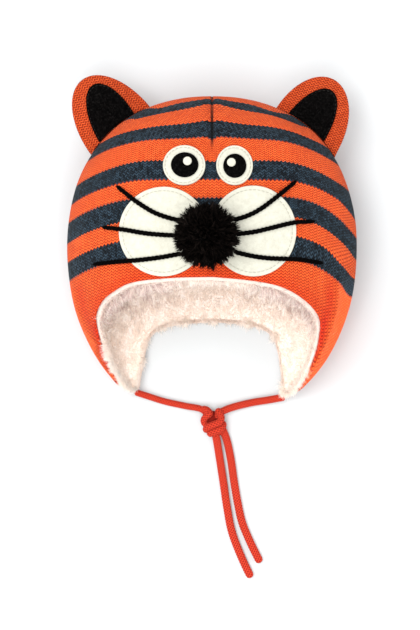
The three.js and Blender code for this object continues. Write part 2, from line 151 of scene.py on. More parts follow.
def spread(y):
    """The outline's half width at y over its greatest: a quarter superellipse above the widest line and one below."""
    up = np.clip((y - WIDEST_Y) / CROWN_RISE, 0, 1)
    down = np.clip((WIDEST_Y - y) / CHIN_DROP, 0, 1)
    crown = (1 - up**CROWN_SQUARENESS) ** (1 / CROWN_SQUARENESS)
    return np.where(y > WIDEST_Y, crown, (1 - down**CHIN_SQUARENESS) ** (1 / CHIN_SQUARENESS))


def outline_z(y):
    """The outline's height above the table, which falls as a parabola towards the flaps' tips."""
    return SIDE_HEIGHT - FLAP_SINK * np.clip((WIDEST_Y - y) / (WIDEST_Y - FLAP_TIP_Y), 0, None) ** 2


def dents(turn, y):
    """How deep the dart seam and the soft creases are, each a bell across and along."""
    depth = DART_DEPTH * np.exp(-((turn / DART_HALF_ANGLE) ** 2)) * ease(y, DART_FROM_Y, DART_TO_Y)
    for at, mid, half_angle, half_length, deep in CREASES:
        depth = depth + deep * np.exp(-(((turn - at) / half_angle) ** 2) - ((y - mid) / half_length) ** 2)
    return depth


def round_point(turn, y):
    """The hat before its dents. In front x and z follow an ellipse with the turn round the head. Behind they follow
    a flatter superellipse that the table cuts off at z = 0."""
    a = np.radians(turn)
    s, z0 = spread(y), outline_z(y)
    lobe = 1 + CROWN_LOBES * np.sin(2 * a) ** 2 * ease(y, WIDEST_Y, TIP_Y)
    front = np.cos(a) >= 0
    behind = np.abs(np.cos(a)) ** BACK_SQUARENESS
    x = np.where(front, lobe * np.sin(a), np.sign(np.sin(a)) * np.abs(np.sin(a)) ** BACK_SQUARENESS)
    z = np.where(front, z0 + FACE_BULGE * s * lobe * np.cos(a), np.maximum(0, z0 - (z0 + BACK_SAG) * s * behind))
    return np.stack([HALF_WIDTH * s * x, y + 0 * turn, z], -1)


def unit(vectors):
    """Vectors made 1 long."""
    return vectors / np.linalg.norm(vectors, axis=-1, keepdims=True)


def outward(turn, y):
    """The unit normal, from the cross product of small steps along and round the hat."""
    step = 0.4
    y = np.minimum(y, TIP_Y - 0.6)
    around = round_point(turn + step, y) - round_point(turn - step, y)
    along = round_point(turn, y + step) - round_point(turn, y - step)
    return unit(np.cross(around, along))


def hat_point(turn, y, depth):
    """A point of the hat at a depth below its outer face, dents included."""
    turn, y, depth = np.broadcast_arrays(np.asarray(turn, float), np.asarray(y, float), np.asarray(depth, float))
    point = round_point(turn, y)
    dent = np.where(point[..., 2] > 0, dents(turn, y), 0)
    point = point - outward(turn, y) * (depth + dent)[..., None]
    tip = np.stack([0 * y, TIP_Y - depth, SIDE_HEIGHT + 0 * y], -1)
    return np.where((y > TIP_Y - 0.01)[..., None], tip, point)


def face_point(x, y, height):
    """The point of the face at a place seen from above, raised above the knit."""
    x, y = np.broadcast_arrays(np.asarray(x, float), np.asarray(y, float))
    turn = np.degrees(np.arcsin(np.clip(x / (HALF_WIDTH * spread(y)), -1, 1)))
    return hat_point(turn, y, -np.asarray(height, float))


def run_along(line):
    """The length along a line of points, up to each of them."""
    return np.concatenate([[0], np.cumsum(np.linalg.norm(np.diff(line, axis=0), axis=1))])


def smooth_path(points, count):
    """Evenly spaced points on a centripetal Catmull-Rom curve through the given ones: between two points it is a
    cubic whose end slopes come from the neighbours, weighted by the square roots of the chords."""
    p = np.asarray(points, float)
    p = np.vstack([2 * p[0] - p[1], p, 2 * p[-1] - p[-2]])
    t = np.linspace(0, 1, 60)[:, None]
    parts = []
    for a, b, c, d in zip(p, p[1:], p[2:], p[3:]):
        k0, k1, k2 = (max(np.linalg.norm(n - m) ** 0.5, 1e-4) for m, n in ((a, b), (b, c), (c, d)))
        out = ((b - a) / k0 - (c - a) / (k0 + k1) + (c - b) / k1) * k1
        into = ((c - b) / k1 - (d - b) / (k1 + k2) + (d - c) / k2) * k1
        parts.append(b + out * t + (3 * (c - b) - 2 * out - into) * t**2 + (2 * (b - c) + out + into) * t**3)
    dense = np.vstack(parts)
    run = run_along(dense)
    at = np.linspace(0, run[-1], count)
    return np.stack([np.interp(at, run, dense[:, k]) for k in range(dense.shape[1])], -1)


def hat_columns(per_side):
    """Where each column starts at the crown's tip and where it meets the rim, once round from the left side of the
    back to the right."""
    per_degree = math.radians(1) * HALF_WIDTH
    sides = []
    for sign, rim in ((-1, RIM_LEFT), (1, RIM_RIGHT)):
        curve = smooth_path([(turn * per_degree, y) for turn, y in rim], per_side + 1)
        start = sign * np.linspace(0, 180, per_side + 1)
        sides.append(np.stack([start, sign * curve[:, 0] / per_degree, curve[:, 1]], -1))
    return np.vstack([sides[0][::-1], sides[1][1:]])


def column_place(columns, share, lip):
    """The turn and y at a share of the way down each column. Equal shares are equal angles round the outline, and
    the turn goes from the start's to the rim's with the power 1.5."""
    start, turn, rim_y = (columns[:, k] for k in range(3))
    below = np.clip((WIDEST_Y - (rim_y - lip)) / CHIN_DROP, 0, 1)
    angle = share * (math.pi / 2 + np.arcsin(below ** (CHIN_SQUARENESS / 2)))
    up = np.clip(np.cos(angle), 0, 1) ** (2 / CROWN_SQUARENESS)
    down = np.clip(-np.cos(angle), 0, 1) ** (2 / CHIN_SQUARENESS)
    y = np.where(angle < math.pi / 2, WIDEST_Y + CROWN_RISE * up, WIDEST_Y - CHIN_DROP * down)
    return start + (turn - start) * share**1.5, y


def grid_quads(rows, columns, wrap=False):
    """The quads of a grid whose points are numbered along its rows. wrap joins the last column to the first."""
    r, c = np.meshgrid(np.arange(rows - 1), np.arange(columns if wrap else columns - 1), indexing="ij")
    n = (c + 1) % columns
    return np.stack([r * columns + c, r * columns + n, (r + 1) * columns + n, (r + 1) * columns + c], -1).reshape(-1, 4)


def new_piece(name, points, faces, material, uv=None, closed=True, painted_shading=None):
    """A mesh object from points in mm and faces of one size. Points that coincide are merged. A closed piece whose
    signed volume, the sum of its triangles' determinants, is negative is turned the right way out. uv is given for
    each corner, and the painted light and shade for each point."""
    points, faces = np.asarray(points, float).reshape(-1, 3), np.asarray(faces)
    size = faces.shape[1]
    if closed:
        fans = np.concatenate([faces[:, [0, k, k + 1]] for k in range(1, size - 1)])
        a, b, c = (points[fans[:, k]] for k in range(3))
        if np.einsum("ij,ij->i", a, np.cross(b, c)).sum() < 0:
            faces = faces[:, ::-1]
            uv = None if uv is None else uv[:, ::-1]
    mesh = bpy.data.meshes.new(name)
    mesh.vertices.add(len(points))
    mesh.vertices.foreach_set("co", (points / 1000).astype(np.float32).ravel())
    mesh.loops.add(faces.size)
    mesh.loops.foreach_set("vertex_index", faces.astype(np.int32).ravel())
    mesh.polygons.add(len(faces))
    mesh.polygons.foreach_set("loop_start", np.arange(0, faces.size, size, dtype=np.int32))
    mesh.polygons.foreach_set("use_smooth", np.ones(len(faces), bool))
    mesh.update(calc_edges=True)
    if uv is not None:
        mesh.uv_layers.new(name="cloth").uv.foreach_set("vector", np.asarray(uv, np.float32).ravel())
    if painted_shading is not None:
        corners = np.stack([painted_shading[faces], 0 * painted_shading[faces]], -1)
        mesh.uv_layers.new(name="painted_shading").uv.foreach_set("vector", corners.astype(np.float32).ravel())
    if closed:
        tidy = bmesh.new()
        tidy.from_mesh(mesh)
        bmesh.ops.remove_doubles(tidy, verts=tidy.verts, dist=2e-6)
        tidy.to_mesh(mesh)
        tidy.free()
    mesh.materials.append(material)
    piece = bpy.data.objects.new(name, mesh)
    bpy.context.collection.objects.link(piece)
    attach(piece, "root")
    return piece


# The stripes are knitted in, whole rounds at a time. These are the heights at which each navy band starts and
# ends on the middle line of the forehead.
NAVY_BANDS = [(-18.0, -5.2), (7.2, 21.2), (34.3, 47.2), (63.6, 76.4), (89.0, 92.8)]
# A stitch is 2.9 mm wide. The real courses are about 1.5 mm high, too fine for the picture, and are drawn 1.9 mm high.
WALE_MM, COURSE_MM = 2.9, 1.9
LEG_LEAN, TOOTH_MM = 1.6, 1.4  # courses that a leg rises in a wale's width, and the height of the stripes' teeth
PAST_TOP_BAND_MM = 60  # how far the stripes' ramp goes on, which is past the crown's tip
DART_TOP_OF_CLOTH_Y = 57  # above it the panels narrow, and their wales run into the seams at a slant


def middle_y(turn, y):
    """The y at which the course through a point crosses the middle of the forehead. Courses sag towards both sides,
    further on the right, curve down round the crown, and dip at the dart."""
    a = np.abs((turn + 180) % 360 - 180)
    side = ease(a, 28, 85)
    left = 14 - 5 * ease(y, 45, 80)
    right = 25 - 8 * ease(y, 8, 34) - 3 * ease(y, 45, 80)
    swing = 0.5 + 0.5 * np.sin(np.radians(turn)) * np.where(a > 90, 1, 0)
    share = np.where(a > 90, swing, (turn > 0) * 1.0)
    lift = 3 * ease(turn, 3, 28) * (1 - ease(y, 8, 34)) * (1 - ease(turn, 60, 90)) * ease(y, -22, -8)
    crown = 10 * (1 - np.exp(-a / 18)) * ease(y, 48, 90)
    dip = 2.2 * np.exp(-((turn / 2) ** 2) - ((y - 60) / 16) ** 2)
    return y + (left + (right - left) * share) * side - lift + crown + dip


CLOTH_FROM_Y, CURVE_MM, SHOULDER_Y, TIP_SAG_MM = -125, 80, 82, 18
RUN_Y = np.linspace(CLOTH_FROM_Y, TIP_Y, 2000)
RUN_MM = np.concatenate([[0], np.cumsum(np.hypot(np.diff(RUN_Y), CURVE_MM * np.diff(spread(RUN_Y))))])


def course_run(y):
    """Length along the cloth from below the flaps up to a height y on the middle line, with the crown's curve."""
    return np.interp(y, RUN_Y, RUN_MM)


ROUND_TURN = np.linspace(0, 180, 721)
ROUND_MM = run_along(round_point(ROUND_TURN, WIDEST_Y + 0 * ROUND_TURN))


def wale_run(turn, y, panel):
    """Length along the cloth from the forehead's middle: the widest line's length to that turn, times the spread.
    Above the dart a panel's wales keep parallel to the line down its middle, panel being that line's turn."""
    s = spread(y)
    slant = 0.65 * np.maximum(0, spread(DART_TOP_OF_CLOTH_Y + 0 * y) - s) * (y > DART_TOP_OF_CLOTH_Y)
    return np.sign(panel) * (s * np.interp(np.abs(turn), ROUND_TURN, ROUND_MM)
                             + slant * np.interp(np.abs(panel), ROUND_TURN, ROUND_MM))


def cloth_run(turn, y):
    """Length along the cloth to the course through a point: the run to its own y, and the run that the course sags
    there. Over the crown the sag stays as it is at its shoulder, and evens out towards the tip."""
    a = np.abs((turn + 180) % 360 - 180)
    shoulder = np.minimum(y, SHOULDER_Y - 14 * ease(a, 40, 80))
    sag = course_run(middle_y(turn, shoulder)) - course_run(shoulder)
    return course_run(y) + TIP_SAG_MM + (sag - TIP_SAG_MM) * ease(spread(y), 0, 0.35)


def knit_material(name, gap_shade, dark, light, bands):
    """Machine-knitted acrylic. The eye sees columns of small V stitches, with painted shade between them, and heathered
    yarn.
    """
    material, node = new_material(name)
    along, up, _ = node("SeparateXYZ", [node("UVMap", uv_map="cloth")]).outputs
    wale = node("Math", [along, WALE_MM], operation="DIVIDE")
    off = node("Math", [wale, 0.5], operation="PINGPONG")
    off_leg = node("Math", [off, 0.25], operation="SUBTRACT")
    courses = node("Math", [up, COURSE_MM], operation="DIVIDE")
    leaned = node("Math", [off_leg, LEG_LEAN, courses], operation="MULTIPLY_ADD")
    course = node("Math", [leaned], operation="FLOOR")
    within = node("Math", [leaned], operation="FRACT")
    # a stitch: a rounded column with a split down its middle, crossed by a slanting line at each course; its low parts
    # get painted shade
    edge = node("Math", [node("Math", [off, -2.0, 1.0], operation="MULTIPLY_ADD"), 3.0], operation="POWER")
    column = node("Math", [edge, -0.7, 1.0], operation="MULTIPLY_ADD")
    split = node("Math", [node("Math", [off, 2.0], operation="MULTIPLY"), 5.0], operation="POWER")
    loop = node("Math", [node("Math", [within, math.pi], operation="MULTIPLY")], operation="SINE")
    arch = node("Math", [loop, 1.3, -0.3], operation="MULTIPLY_ADD")
    legs = node("Math", [split, -0.65, column], operation="MULTIPLY_ADD")
    relief = node("Math", [legs, arch], operation="MULTIPLY")
    raised = node("MapRange", [relief, 0.0, 0.7])
    # every leg of every stitch has its own shade
    leg = node("Math", [node("Math", [wale, 2.0], operation="MULTIPLY")], operation="FLOOR")
    each = node("TexWhiteNoise", [node("CombineXYZ", [leg, course])], noise_dimensions="2D")
    # the first colour is painted shade in the gaps between stitches, mixed in where the relief is low
    cloth = node("MixRGB", [raised, linear(gap_shade), node("ValToRGB", [each], (dark, light))])
    place = node("TexCoord").outputs["Object"]
    wear = node("TexNoise", {"Vector": place, "Scale": 45, "Detail": 3})
    shade = node("MapRange", [wear, 0.3, 0.7, 0.94, 1.05])
    if bands:
        # 020304 is the navy's painted shade in the gaps between stitches
        navy = node("MixRGB", [raised, linear("#020304"), node("ValToRGB", [each], ("#0C131A", "#354755"))])
        tooth = node("Math", [off_leg, 2 * TOOTH_MM, up], operation="MULTIPLY_ADD")
        top = bands[-1][1] + PAST_TOP_BAND_MM
        in_band = node("ValToRGB", [node("Math", [tooth, 1 / top], operation="MULTIPLY")], ["#000000"])
        steps = in_band.color_ramp
        steps.interpolation = "CONSTANT"
        steps.elements.remove(steps.elements[1])
        for low, high in bands:
            steps.elements.new(low / top).color = (1, 1, 1, 1)
            steps.elements.new(high / top).color = (0, 0, 0, 1)
        cloth = node("MixRGB", [in_band, cloth, navy])
        # the cross seams of the crown, sunk, with painted shade along them: in front and behind at x = 0, at the sides
        # at the outline
        x, y, z = node("SeparateXYZ", [place]).outputs
        level = node("Math", [z, SIDE_HEIGHT / 1000], operation="SUBTRACT")
        nearest = node("Math", [node("Math", [x], operation="ABSOLUTE"), node("Math", [level], operation="ABSOLUTE")],
                       operation="MINIMUM")
        line = node("MapRange", [nearest, 0.0004, 0.0013, 1.0, 0.0])
        above = node("MapRange", [y, DART_FROM_Y / 1000, (DART_FROM_Y + 9) / 1000])
        closed = node("MapRange", [y, 0.078, 0.088, 1.0, 0.55])
        seam_shade = node("Math", [node("Math", [line, above], operation="MULTIPLY"), closed], operation="MULTIPLY")
        # painted shade: the colour is dimmed along the seams
        painted_shade = node("Math", [seam_shade, -0.9, 1.0], operation="MULTIPLY_ADD")
        shade = node("Math", [shade, painted_shade], operation="MULTIPLY")
        # painted highlight where the cloth turns over an edge, and painted shade, a deeper red, in the hollows beside
        # it and along the rim
        painted_shading = node("SeparateXYZ", [node("UVMap", uv_map="painted_shading")])
        pale = node("MapRange", [painted_shading, 0.0, 1.0, 1.0, 1.75])
        shade = node("Math", [shade, pale], operation="MULTIPLY")
        deep = node("MapRange", [painted_shading, 0.0, -1.0])
        cloth = node("MixRGB", [deep, cloth, linear("#F2A0A8")], blend_type="MULTIPLY")
    colour = node("MixRGB", [1.0, cloth, shade], blend_type="MULTIPLY")
    bump = node("Bump", {"Height": relief, "Strength": 0.8, "Distance": 0.0006})
    node("OutputMaterial", [node("BsdfPrincipled", {
        "Base Color": colour, "Roughness": 0.9, "Specular IOR Level": 0.1, "Sheen Weight": 0.03,
        "Sheen Roughness": 0.5, "Normal": bump})])
    return material


TOP_BAND_MM = 13.5  # the band over the crown's edge, along the cloth
band_runs = [[float(v) for v in course_run(np.array(band))] for band in NAVY_BANDS]
band_runs[-1][1] = band_runs[-1][0] + TOP_BAND_MM
# 861A08 is the painted shade between the stitches
striped_knit = knit_material("striped_acrylic_knit", "#861A08", "#E85B28", "#FC6E33", band_runs)

# soft folds in the cloth, seen from the front: points along each, half its width, its height, and how much
# painted highlight the cloth gets on its outer side
FOLDS = [([(86.5, -24), (84.9, -35.6), (84.2, -52), (77.3, -72.2), (69, -92.2), (62.1, -101.8), (53.8, -110.8)],
          2.6, 1.3, 1.0),
         ([(-96, -30), (-93.5, -45), (-90.1, -58.4), (-84.2, -70), (-74.5, -78)], 2.2, 1.3, 0.8),
         ([(-84.5, -76), (-75.5, -90.3), (-64.5, -101)], 1.4, 0.5, 0.8),
         ([(-82, 12), (-90, -14)], 3.5, 0.5, 0.0), ([(83, 30), (91, 4)], 3.5, 0.6, 0.0)]
FOLD_POINTS, FOLD_FADE = 60, 12


def folds(x, y):
    """How high the folds stand, a bell of the distance to each line that fades at its ends, and the painted light
    and shade: painted highlight outside the line, painted shade in a strip inside it."""
    height, painted_shading = 0 * x, 0 * x
    for path, half, tall, pale in FOLDS:
        line = smooth_path(path, FOLD_POINTS)
        distance = np.hypot(x[..., None] - line[:, 0], y[..., None] - line[:, 1])
        nearest = distance.argmin(-1)
        across = distance.min(-1) * np.sign(np.abs(x) - np.abs(line[nearest, 0]))
        fade = ease(nearest, 0, FOLD_FADE) * ease(FOLD_POINTS - 1 - nearest, 0, FOLD_FADE)
        height = height + tall * np.exp(-((across / half) ** 2)) * fade
        painted_shading = painted_shading + pale * fade * (ease(across, -2, 2) - 0.7 * np.exp(-(((across + 5) / 3.5) ** 2)))
    return height, painted_shading


def cloth_map(turn, y, down, step):
    """Each corner's own place on the cloth, so that the pattern can break at the seams. After the rows down the
    outer face, the cloth goes on the way that it ran into the hem, by a step for each row."""
    n, m = turn.shape
    around = np.concatenate([turn, turn[:, :1] + 360], 1), np.concatenate([y, y[:, :1]], 1)
    t, yy = (np.stack([grid[i : n - 1 + i, j : m + j] for i, j in ((0, 0), (0, 1), (1, 1), (1, 0))], -1)
             for grid in around)
    t = np.where(t > 180.0001, t - 360, t)
    mid = t.mean(-1, keepdims=True)
    t = np.where((mid < 0) & (t > 90), t - 360, t)
    panel = np.sign(mid) * np.where(np.abs(mid) > 90, 135, 45)
    uv = np.stack([wale_run(t, yy, panel), cloth_run(t, yy)], -1)
    arc = np.cumsum(step) - step[:down].sum()
    for left, right in ((0, 3), (1, 2)):
        last = uv[down - 2, :, right]
        way = last - uv[down - 2, :, left]
        way /= np.linalg.norm(way, axis=1, keepdims=True) + 1e-9
        uv[down - 1 :, :, left] = last + way * arc[down - 1 : n - 1, None, None]
        uv[down - 1 :, :, right] = last + way * arc[down:n, None, None]
    return uv.reshape(-1, 4, 2)


SEAM_GROOVE, SEAM_HALF_ANGLE, SEAM_FROM_Y, SEAM_TO_Y = 1.2, 0.55, 50, 62
HEM_SWELL, HEM_SWELL_SHARE, RIPPLE = 0.225, 0.018, 0.22


def knit_hat():
    """Rows down the outer face, round the rolled hem, and up the inner face. The hem is half a circle as thick as
    the wall, and swells a little before it. A few more columns stand in the dart seam's groove."""
    per_side, down, inside = 176, 150, 26
    columns = hat_columns(per_side)[:-1]
    start = np.sort(np.concatenate([columns[:, 0], [-0.7, -0.35, 0.35, 0.7]]))
    columns = np.stack([start] + [np.interp(start, columns[:, 0], columns[:, k]) for k in (1, 2)], -1)
    hem = np.linspace(0, math.pi, 7)[1:-1]
    r = KNIT_WALL / 2
    rows = [(share, -r, 0.0) for share in np.linspace(0, 1, down)]
    rows += [(1.0, -r + r * math.sin(a), r - r * math.cos(a)) for a in hem]
    rows += [(share, -r, KNIT_WALL) for share in np.linspace(1, 0, inside)]
    places = [column_place(columns, share, lip) for share, lip, depth in rows]
    turn, y = np.stack([p[0] for p in places]), np.stack([p[1] for p in places])
    share = np.array([row[0] for row in rows])[:, None]
    depth = np.array([row[2] for row in rows])[:, None] + 0 * y
    outside = depth < r
    seam = SEAM_GROOVE * np.exp(-((turn / SEAM_HALF_ANGLE) ** 2)) * ease(y, SEAM_FROM_Y, SEAM_TO_Y) * outside
    swell = HEM_SWELL * np.exp(-(((1 - share) / HEM_SWELL_SHARE) ** 2)) * (depth < KNIT_WALL)
    ripple = RIPPLE * np.sin(turn / 7.0 + y / 19.0) * np.sin(y / 13.0 - turn / 23.0) * ease(share, 0.05, 0.2) * outside
    flat = round_point(turn, y)
    fold, painted_shading = folds(flat[..., 0], y)
    fold = fold * outside * ease(90 - np.abs(turn), 2, 14) * ease(1 - share, 0, 0.03)
    # painted shade, a deeper red, in a strip along the rim
    painted_shading = painted_shading - 0.55 * np.exp(-(((1 - share) / 0.045) ** 2)) * (1 - ease(painted_shading, 0, 0.6))
    points = hat_point(turn, y, depth + seam - swell - ripple - fold)
    points[..., 2] = np.maximum(points[..., 2], 0)
    quads = grid_quads(len(rows), len(columns), wrap=True)
    step = np.where(np.arange(len(rows)) < down + len(hem), math.pi * r / 6, 5.0)
    uv = cloth_map(turn, y, down, step)
    return new_piece("knit_outer", points, quads, striped_knit, uv, painted_shading=painted_shading.ravel())


outer = knit_hat()
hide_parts("knit_hat")

# The lining: off-white plush with a pile 6 to 9 mm long on a knitted backing, turned out in a rolled edge under the
# hem. Its tufts lean together and show in the mouth, on the flaps' insides and below their tips.
CLOTH_GAP, BACKING, LIP, TIP_LIP, NAPE_LIP = 0.3, 3.6, 3.0, 3.4, 1.8
rng = np.random.default_rng(7)


def tuft_waves(count, size, seed):
    """Random wave vectors with a wavelength near size, and their phases."""
    source = np.random.default_rng(seed)
    way = unit(source.normal(size=(count, 3)))
    return way * (2 * math.pi / size) * source.uniform(0.75, 1.35, (count, 1)), source.uniform(0, 2 * math.pi, count)


def tuft_height(points, waves):
    """A bumpy field: the mean of the sines of all waves."""
    way, phase = waves
    return np.sin(points @ way.T + phase).mean(-1)


def tuft_lean(points, waves):
    """The way to the nearest tuft's middle: the slope of the bumpy field, about 1 long."""
    way, phase = waves
    slope = np.cos(points @ way.T + phase) @ unit(way)
    return slope * (2 / len(phase)) ** 0.5


def scatter(grid, count, density):
    """Random points on a grid's quads and their normals. A quad is drawn by its area times the density there."""
    a, b, c, d = (part.reshape(-1, 3) for part in (grid[:-1, :-1], grid[:-1, 1:], grid[1:, 1:], grid[1:, :-1]))
    normal = np.cross(c - a, d - b)
    size = np.linalg.norm(normal, axis=1)
    chance = size * density((a + c) / 2)
    pick = rng.choice(len(chance), count, p=chance / chance.sum())
    u, v = rng.random((2, count, 1))
    points = (a[pick] * (1 - u) + b[pick] * u) * (1 - v) + (d[pick] * (1 - u) + c[pick] * u) * v
    return points, normal[pick] / size[pick, None]


def hairs(roots, normal, growth, lean, length, width, painted_shade=0.0):
    """Flat hairs, each a tapered quad and a pointed triangle. A hair leaves its root along growth, its outer half
    turns towards the lean, and its flat side looks more or less along the normal. Returns points, triangles and,
    for each corner, a shade of its own, up to 1, plus its painted shade, and how far along the hair it is."""
    growth = unit(growth)
    side = np.cross(growth, normal + 0.35 * rng.normal(size=growth.shape))
    side *= width[:, None] / np.linalg.norm(side, axis=1, keepdims=True) / 2
    middle = roots + growth * length[:, None] * 0.5
    tip = middle + unit(growth + lean) * length[:, None] * 0.5
    points = np.stack([roots - side, roots + side, middle + side * 0.8, middle - side * 0.8, tip], 1)
    faces = np.array([[0, 1, 2], [0, 2, 3], [3, 2, 4]])[None] + 5 * np.arange(len(roots))[:, None, None]
    along = np.array([[0, 0, 0.5], [0, 0.5, 0.5], [0.5, 0.5, 1]])
    shade = rng.random((len(roots), 1, 1)) + np.reshape(painted_shade + 0 * length, (-1, 1, 1))
    uv = np.stack(np.broadcast_arrays(shade, along[None]), -1).reshape(-1, 3, 2)
    return points.reshape(-1, 3), faces.reshape(-1, 3), uv


def fur_material(name, root, tip, spare, roughness, gloss, sheen, through):
    """Fur and pile: painted shade towards the roots, lighter at the tips, and every hair a little different. A shade
    of its own that is over 1 dims a hair towards mauve, painted shade for pile that lies in shadow."""
    material, node = new_material(name)
    own, along, _ = node("SeparateXYZ", [node("UVMap", uv_map="cloth")]).outputs
    odd = node("Math", [node("Math", [own, 1.0], operation="MINIMUM"), 3.0], operation="POWER")
    each = node("MixRGB", [odd, node("ValToRGB", [along], (root, tip)), linear(spare)])
    # C09FA1 is the mauve painted shade of pile in shadow
    each = node("MixRGB", [node("MapRange", [own, 1.0, 2.0]), each, linear("#C09FA1")])
    hair = node("BsdfPrincipled", {"Base Color": each, "Roughness": roughness, "Specular IOR Level": gloss,
                                   "Sheen Weight": sheen, "Sheen Roughness": 0.4})
    if through:
        hair = node("MixShader", [through, hair, node("BsdfTranslucent", {"Color": each})])
    node("OutputMaterial", [hair])
    return material


def plush_ground():
    """Woolly plush backing between the hairs: soft cream with tufts a few millimetres wide, painted darker between
    them as shade, and greyer on the brow's rolled edge: painted shade where the lights fall strongly."""
    material, node = new_material("plush_pile_ground")
    place = node("TexCoord").outputs["Object"]
    tufts = node("TexVoronoi", {"Vector": place, "Scale": 330}, feature="SMOOTH_F1")
    fibres = node("TexNoise", {"Vector": place, "Scale": 900, "Detail": 4})
    rim_painted_shade = node("SeparateXYZ", [node("UVMap", uv_map="painted_shading")])
    # painted shade: darker between the tufts, and greyer on the brow's rolled edge
    tone = node("MixRGB", [rim_painted_shade, node("ValToRGB", [tufts], ("#FAF0E8", "#F0E2D8")), linear("#DACDC3")])
    height = node("Math", [tufts, -1.0, fibres], operation="MULTIPLY_ADD")
    bump = node("Bump", {"Height": height, "Strength": 0.6, "Distance": 0.001})
    node("OutputMaterial", [node("BsdfPrincipled", {
        "Base Color": tone, "Roughness": 1.0, "Specular IOR Level": 0.1, "Sheen Weight": 0.2, "Normal": bump})])
    return material


def plush_lining():
    """Rows down the backing, round the rolled edge, and up the pile's ground, which swells in tufts."""
    per_side, down, up = 110, 22, 72
    columns = hat_columns(per_side)[:-1]
    lip = LIP + (TIP_LIP - LIP) * ease(-columns[:, 2], 95, 106)
    lip += (NAPE_LIP - lip) * ease(np.abs(columns[:, 1]), 140, 162)
    r = BACKING / 2
    outer_depth = KNIT_WALL + CLOTH_GAP
    roll = np.linspace(0, math.pi, 9)[1:-1]
    rows = [(share, 0.0, outer_depth) for share in np.linspace(0, 1, down)]
    rows += [(1.0, math.sin(a), outer_depth + r - r * math.cos(a)) for a in roll]
    rows += [(share, 0.0, outer_depth + BACKING) for share in np.linspace(1, 0, up) ** 0.9]
    places = [column_place(columns, share, lip - r + r * out) for share, out, depth in rows]
    turn, y = np.stack([p[0] for p in places]), np.stack([p[1] for p in places])
    depth = np.array([row[2] for row in rows])[:, None] + 0 * y
    points = hat_point(turn, y, depth)
    inside = np.arange(len(rows)) >= len(rows) - up
    share = np.array([row[0] for row in rows])
    fade = inside * ease(1 - share, 0.0, 0.05) * ease(share, 0.05, 0.3)
    swell = (tuft_height(points, tuft_waves(14, 9, 3)) * 1.5 + 0.4) * fade[:, None]
    points = hat_point(turn, y, depth + np.clip(swell, -0.8, 2.4))
    quads = grid_quads(len(rows), len(columns), wrap=True)
    # painted shade on the brow's rolled edge, which the lights hit hard
    rim_painted_shade = (share >= 1)[:, None] * ease(points[..., 2], 40, 60)
    no_pattern = np.zeros((*quads.shape, 2))
    shell = new_piece("lining_plush", points, quads, plush_ground(), no_pattern, painted_shading=rim_painted_shade.ravel())
    start = np.flatnonzero(inside)[0]
    return shell, points[start - 3:], points[down + 1 : start + 1]


lining, pile_face, rolled_edge = plush_lining()
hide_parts("plush_lining")
pile_yarn = fur_material("plush_pile_hairs", "#FCF2EB", "#FFFAF3", "#FFF8F0", 0.8, 0.25, 0.3, 0.6)
pile_face = np.concatenate([pile_face, pile_face[:, :1]], 1)
rolled_edge = np.concatenate([rolled_edge, rolled_edge[:, :1]], 1)
# real fibres are too fine to show, so each hair drawn is a lock of them, half a millimetre wide
PILE_LENGTH, PILE_WIDTH, ROOT_DEPTH, TABLE_GAP = 7.0, 0.5, 0.8, 0.1
PILE_SEEN_BELOW_Y = -14
tufts = tuft_waves(12, 8, 11)


def in_view(p):
    """Pile is dense where it shows: at the back of the mouth and on the flaps."""
    return (p[:, 1] < PILE_SEEN_BELOW_Y) * 1.0 + 0.02


def out_of_view(p):
    return (p[:, 1] >= PILE_SEEN_BELOW_Y) * 1.0


def low_down(p):
    """0 at the brow, and 1 on the flaps and the nape."""
    return ease(-p[:, 2], -60, -35)


def low_edge(p):
    """The rolled edge is short over the brow and fluffy on the flaps and the nape."""
    return 3.2 * low_down(p) + 0.8


def left_border(p):
    """The pile that spills over the left flap's hem."""
    return ease(-p[:, 0], 44, 56) * ease(-p[:, 2], -56, -34) * ease(-p[:, 1], 60, 72)


def brow(p):
    return ease(p[:, 2], 60, 76) * (0.3 + 0.7 * ease(np.abs(p[:, 0]), 10, 40))


def hang(p):
    """The way in which the pile of the brow hangs: into the mouth, and inwards at its corners."""
    return np.stack([-0.7 * np.sign(p[:, 0]) * ease(np.abs(p[:, 0]), 35, 75), -1 + 0 * p[:, 1], -0.5 + 0 * p[:, 2]], -1)


def under_brow(p):
    """How much painted shade the pile gets that lies in the mouth's upper corners, in the shade of the strands that
    hang there.
    """
    x = np.abs(p[:, 0])
    below = -30 - 30 * (x / 80) ** 2.6 - p[:, 1]
    patches = 0.75 + 0.5 * tuft_height(p, tuft_waves(14, 14, 5))
    return patches * (1 - ease(below, 0, 26)) * ease(x, 8, 34)


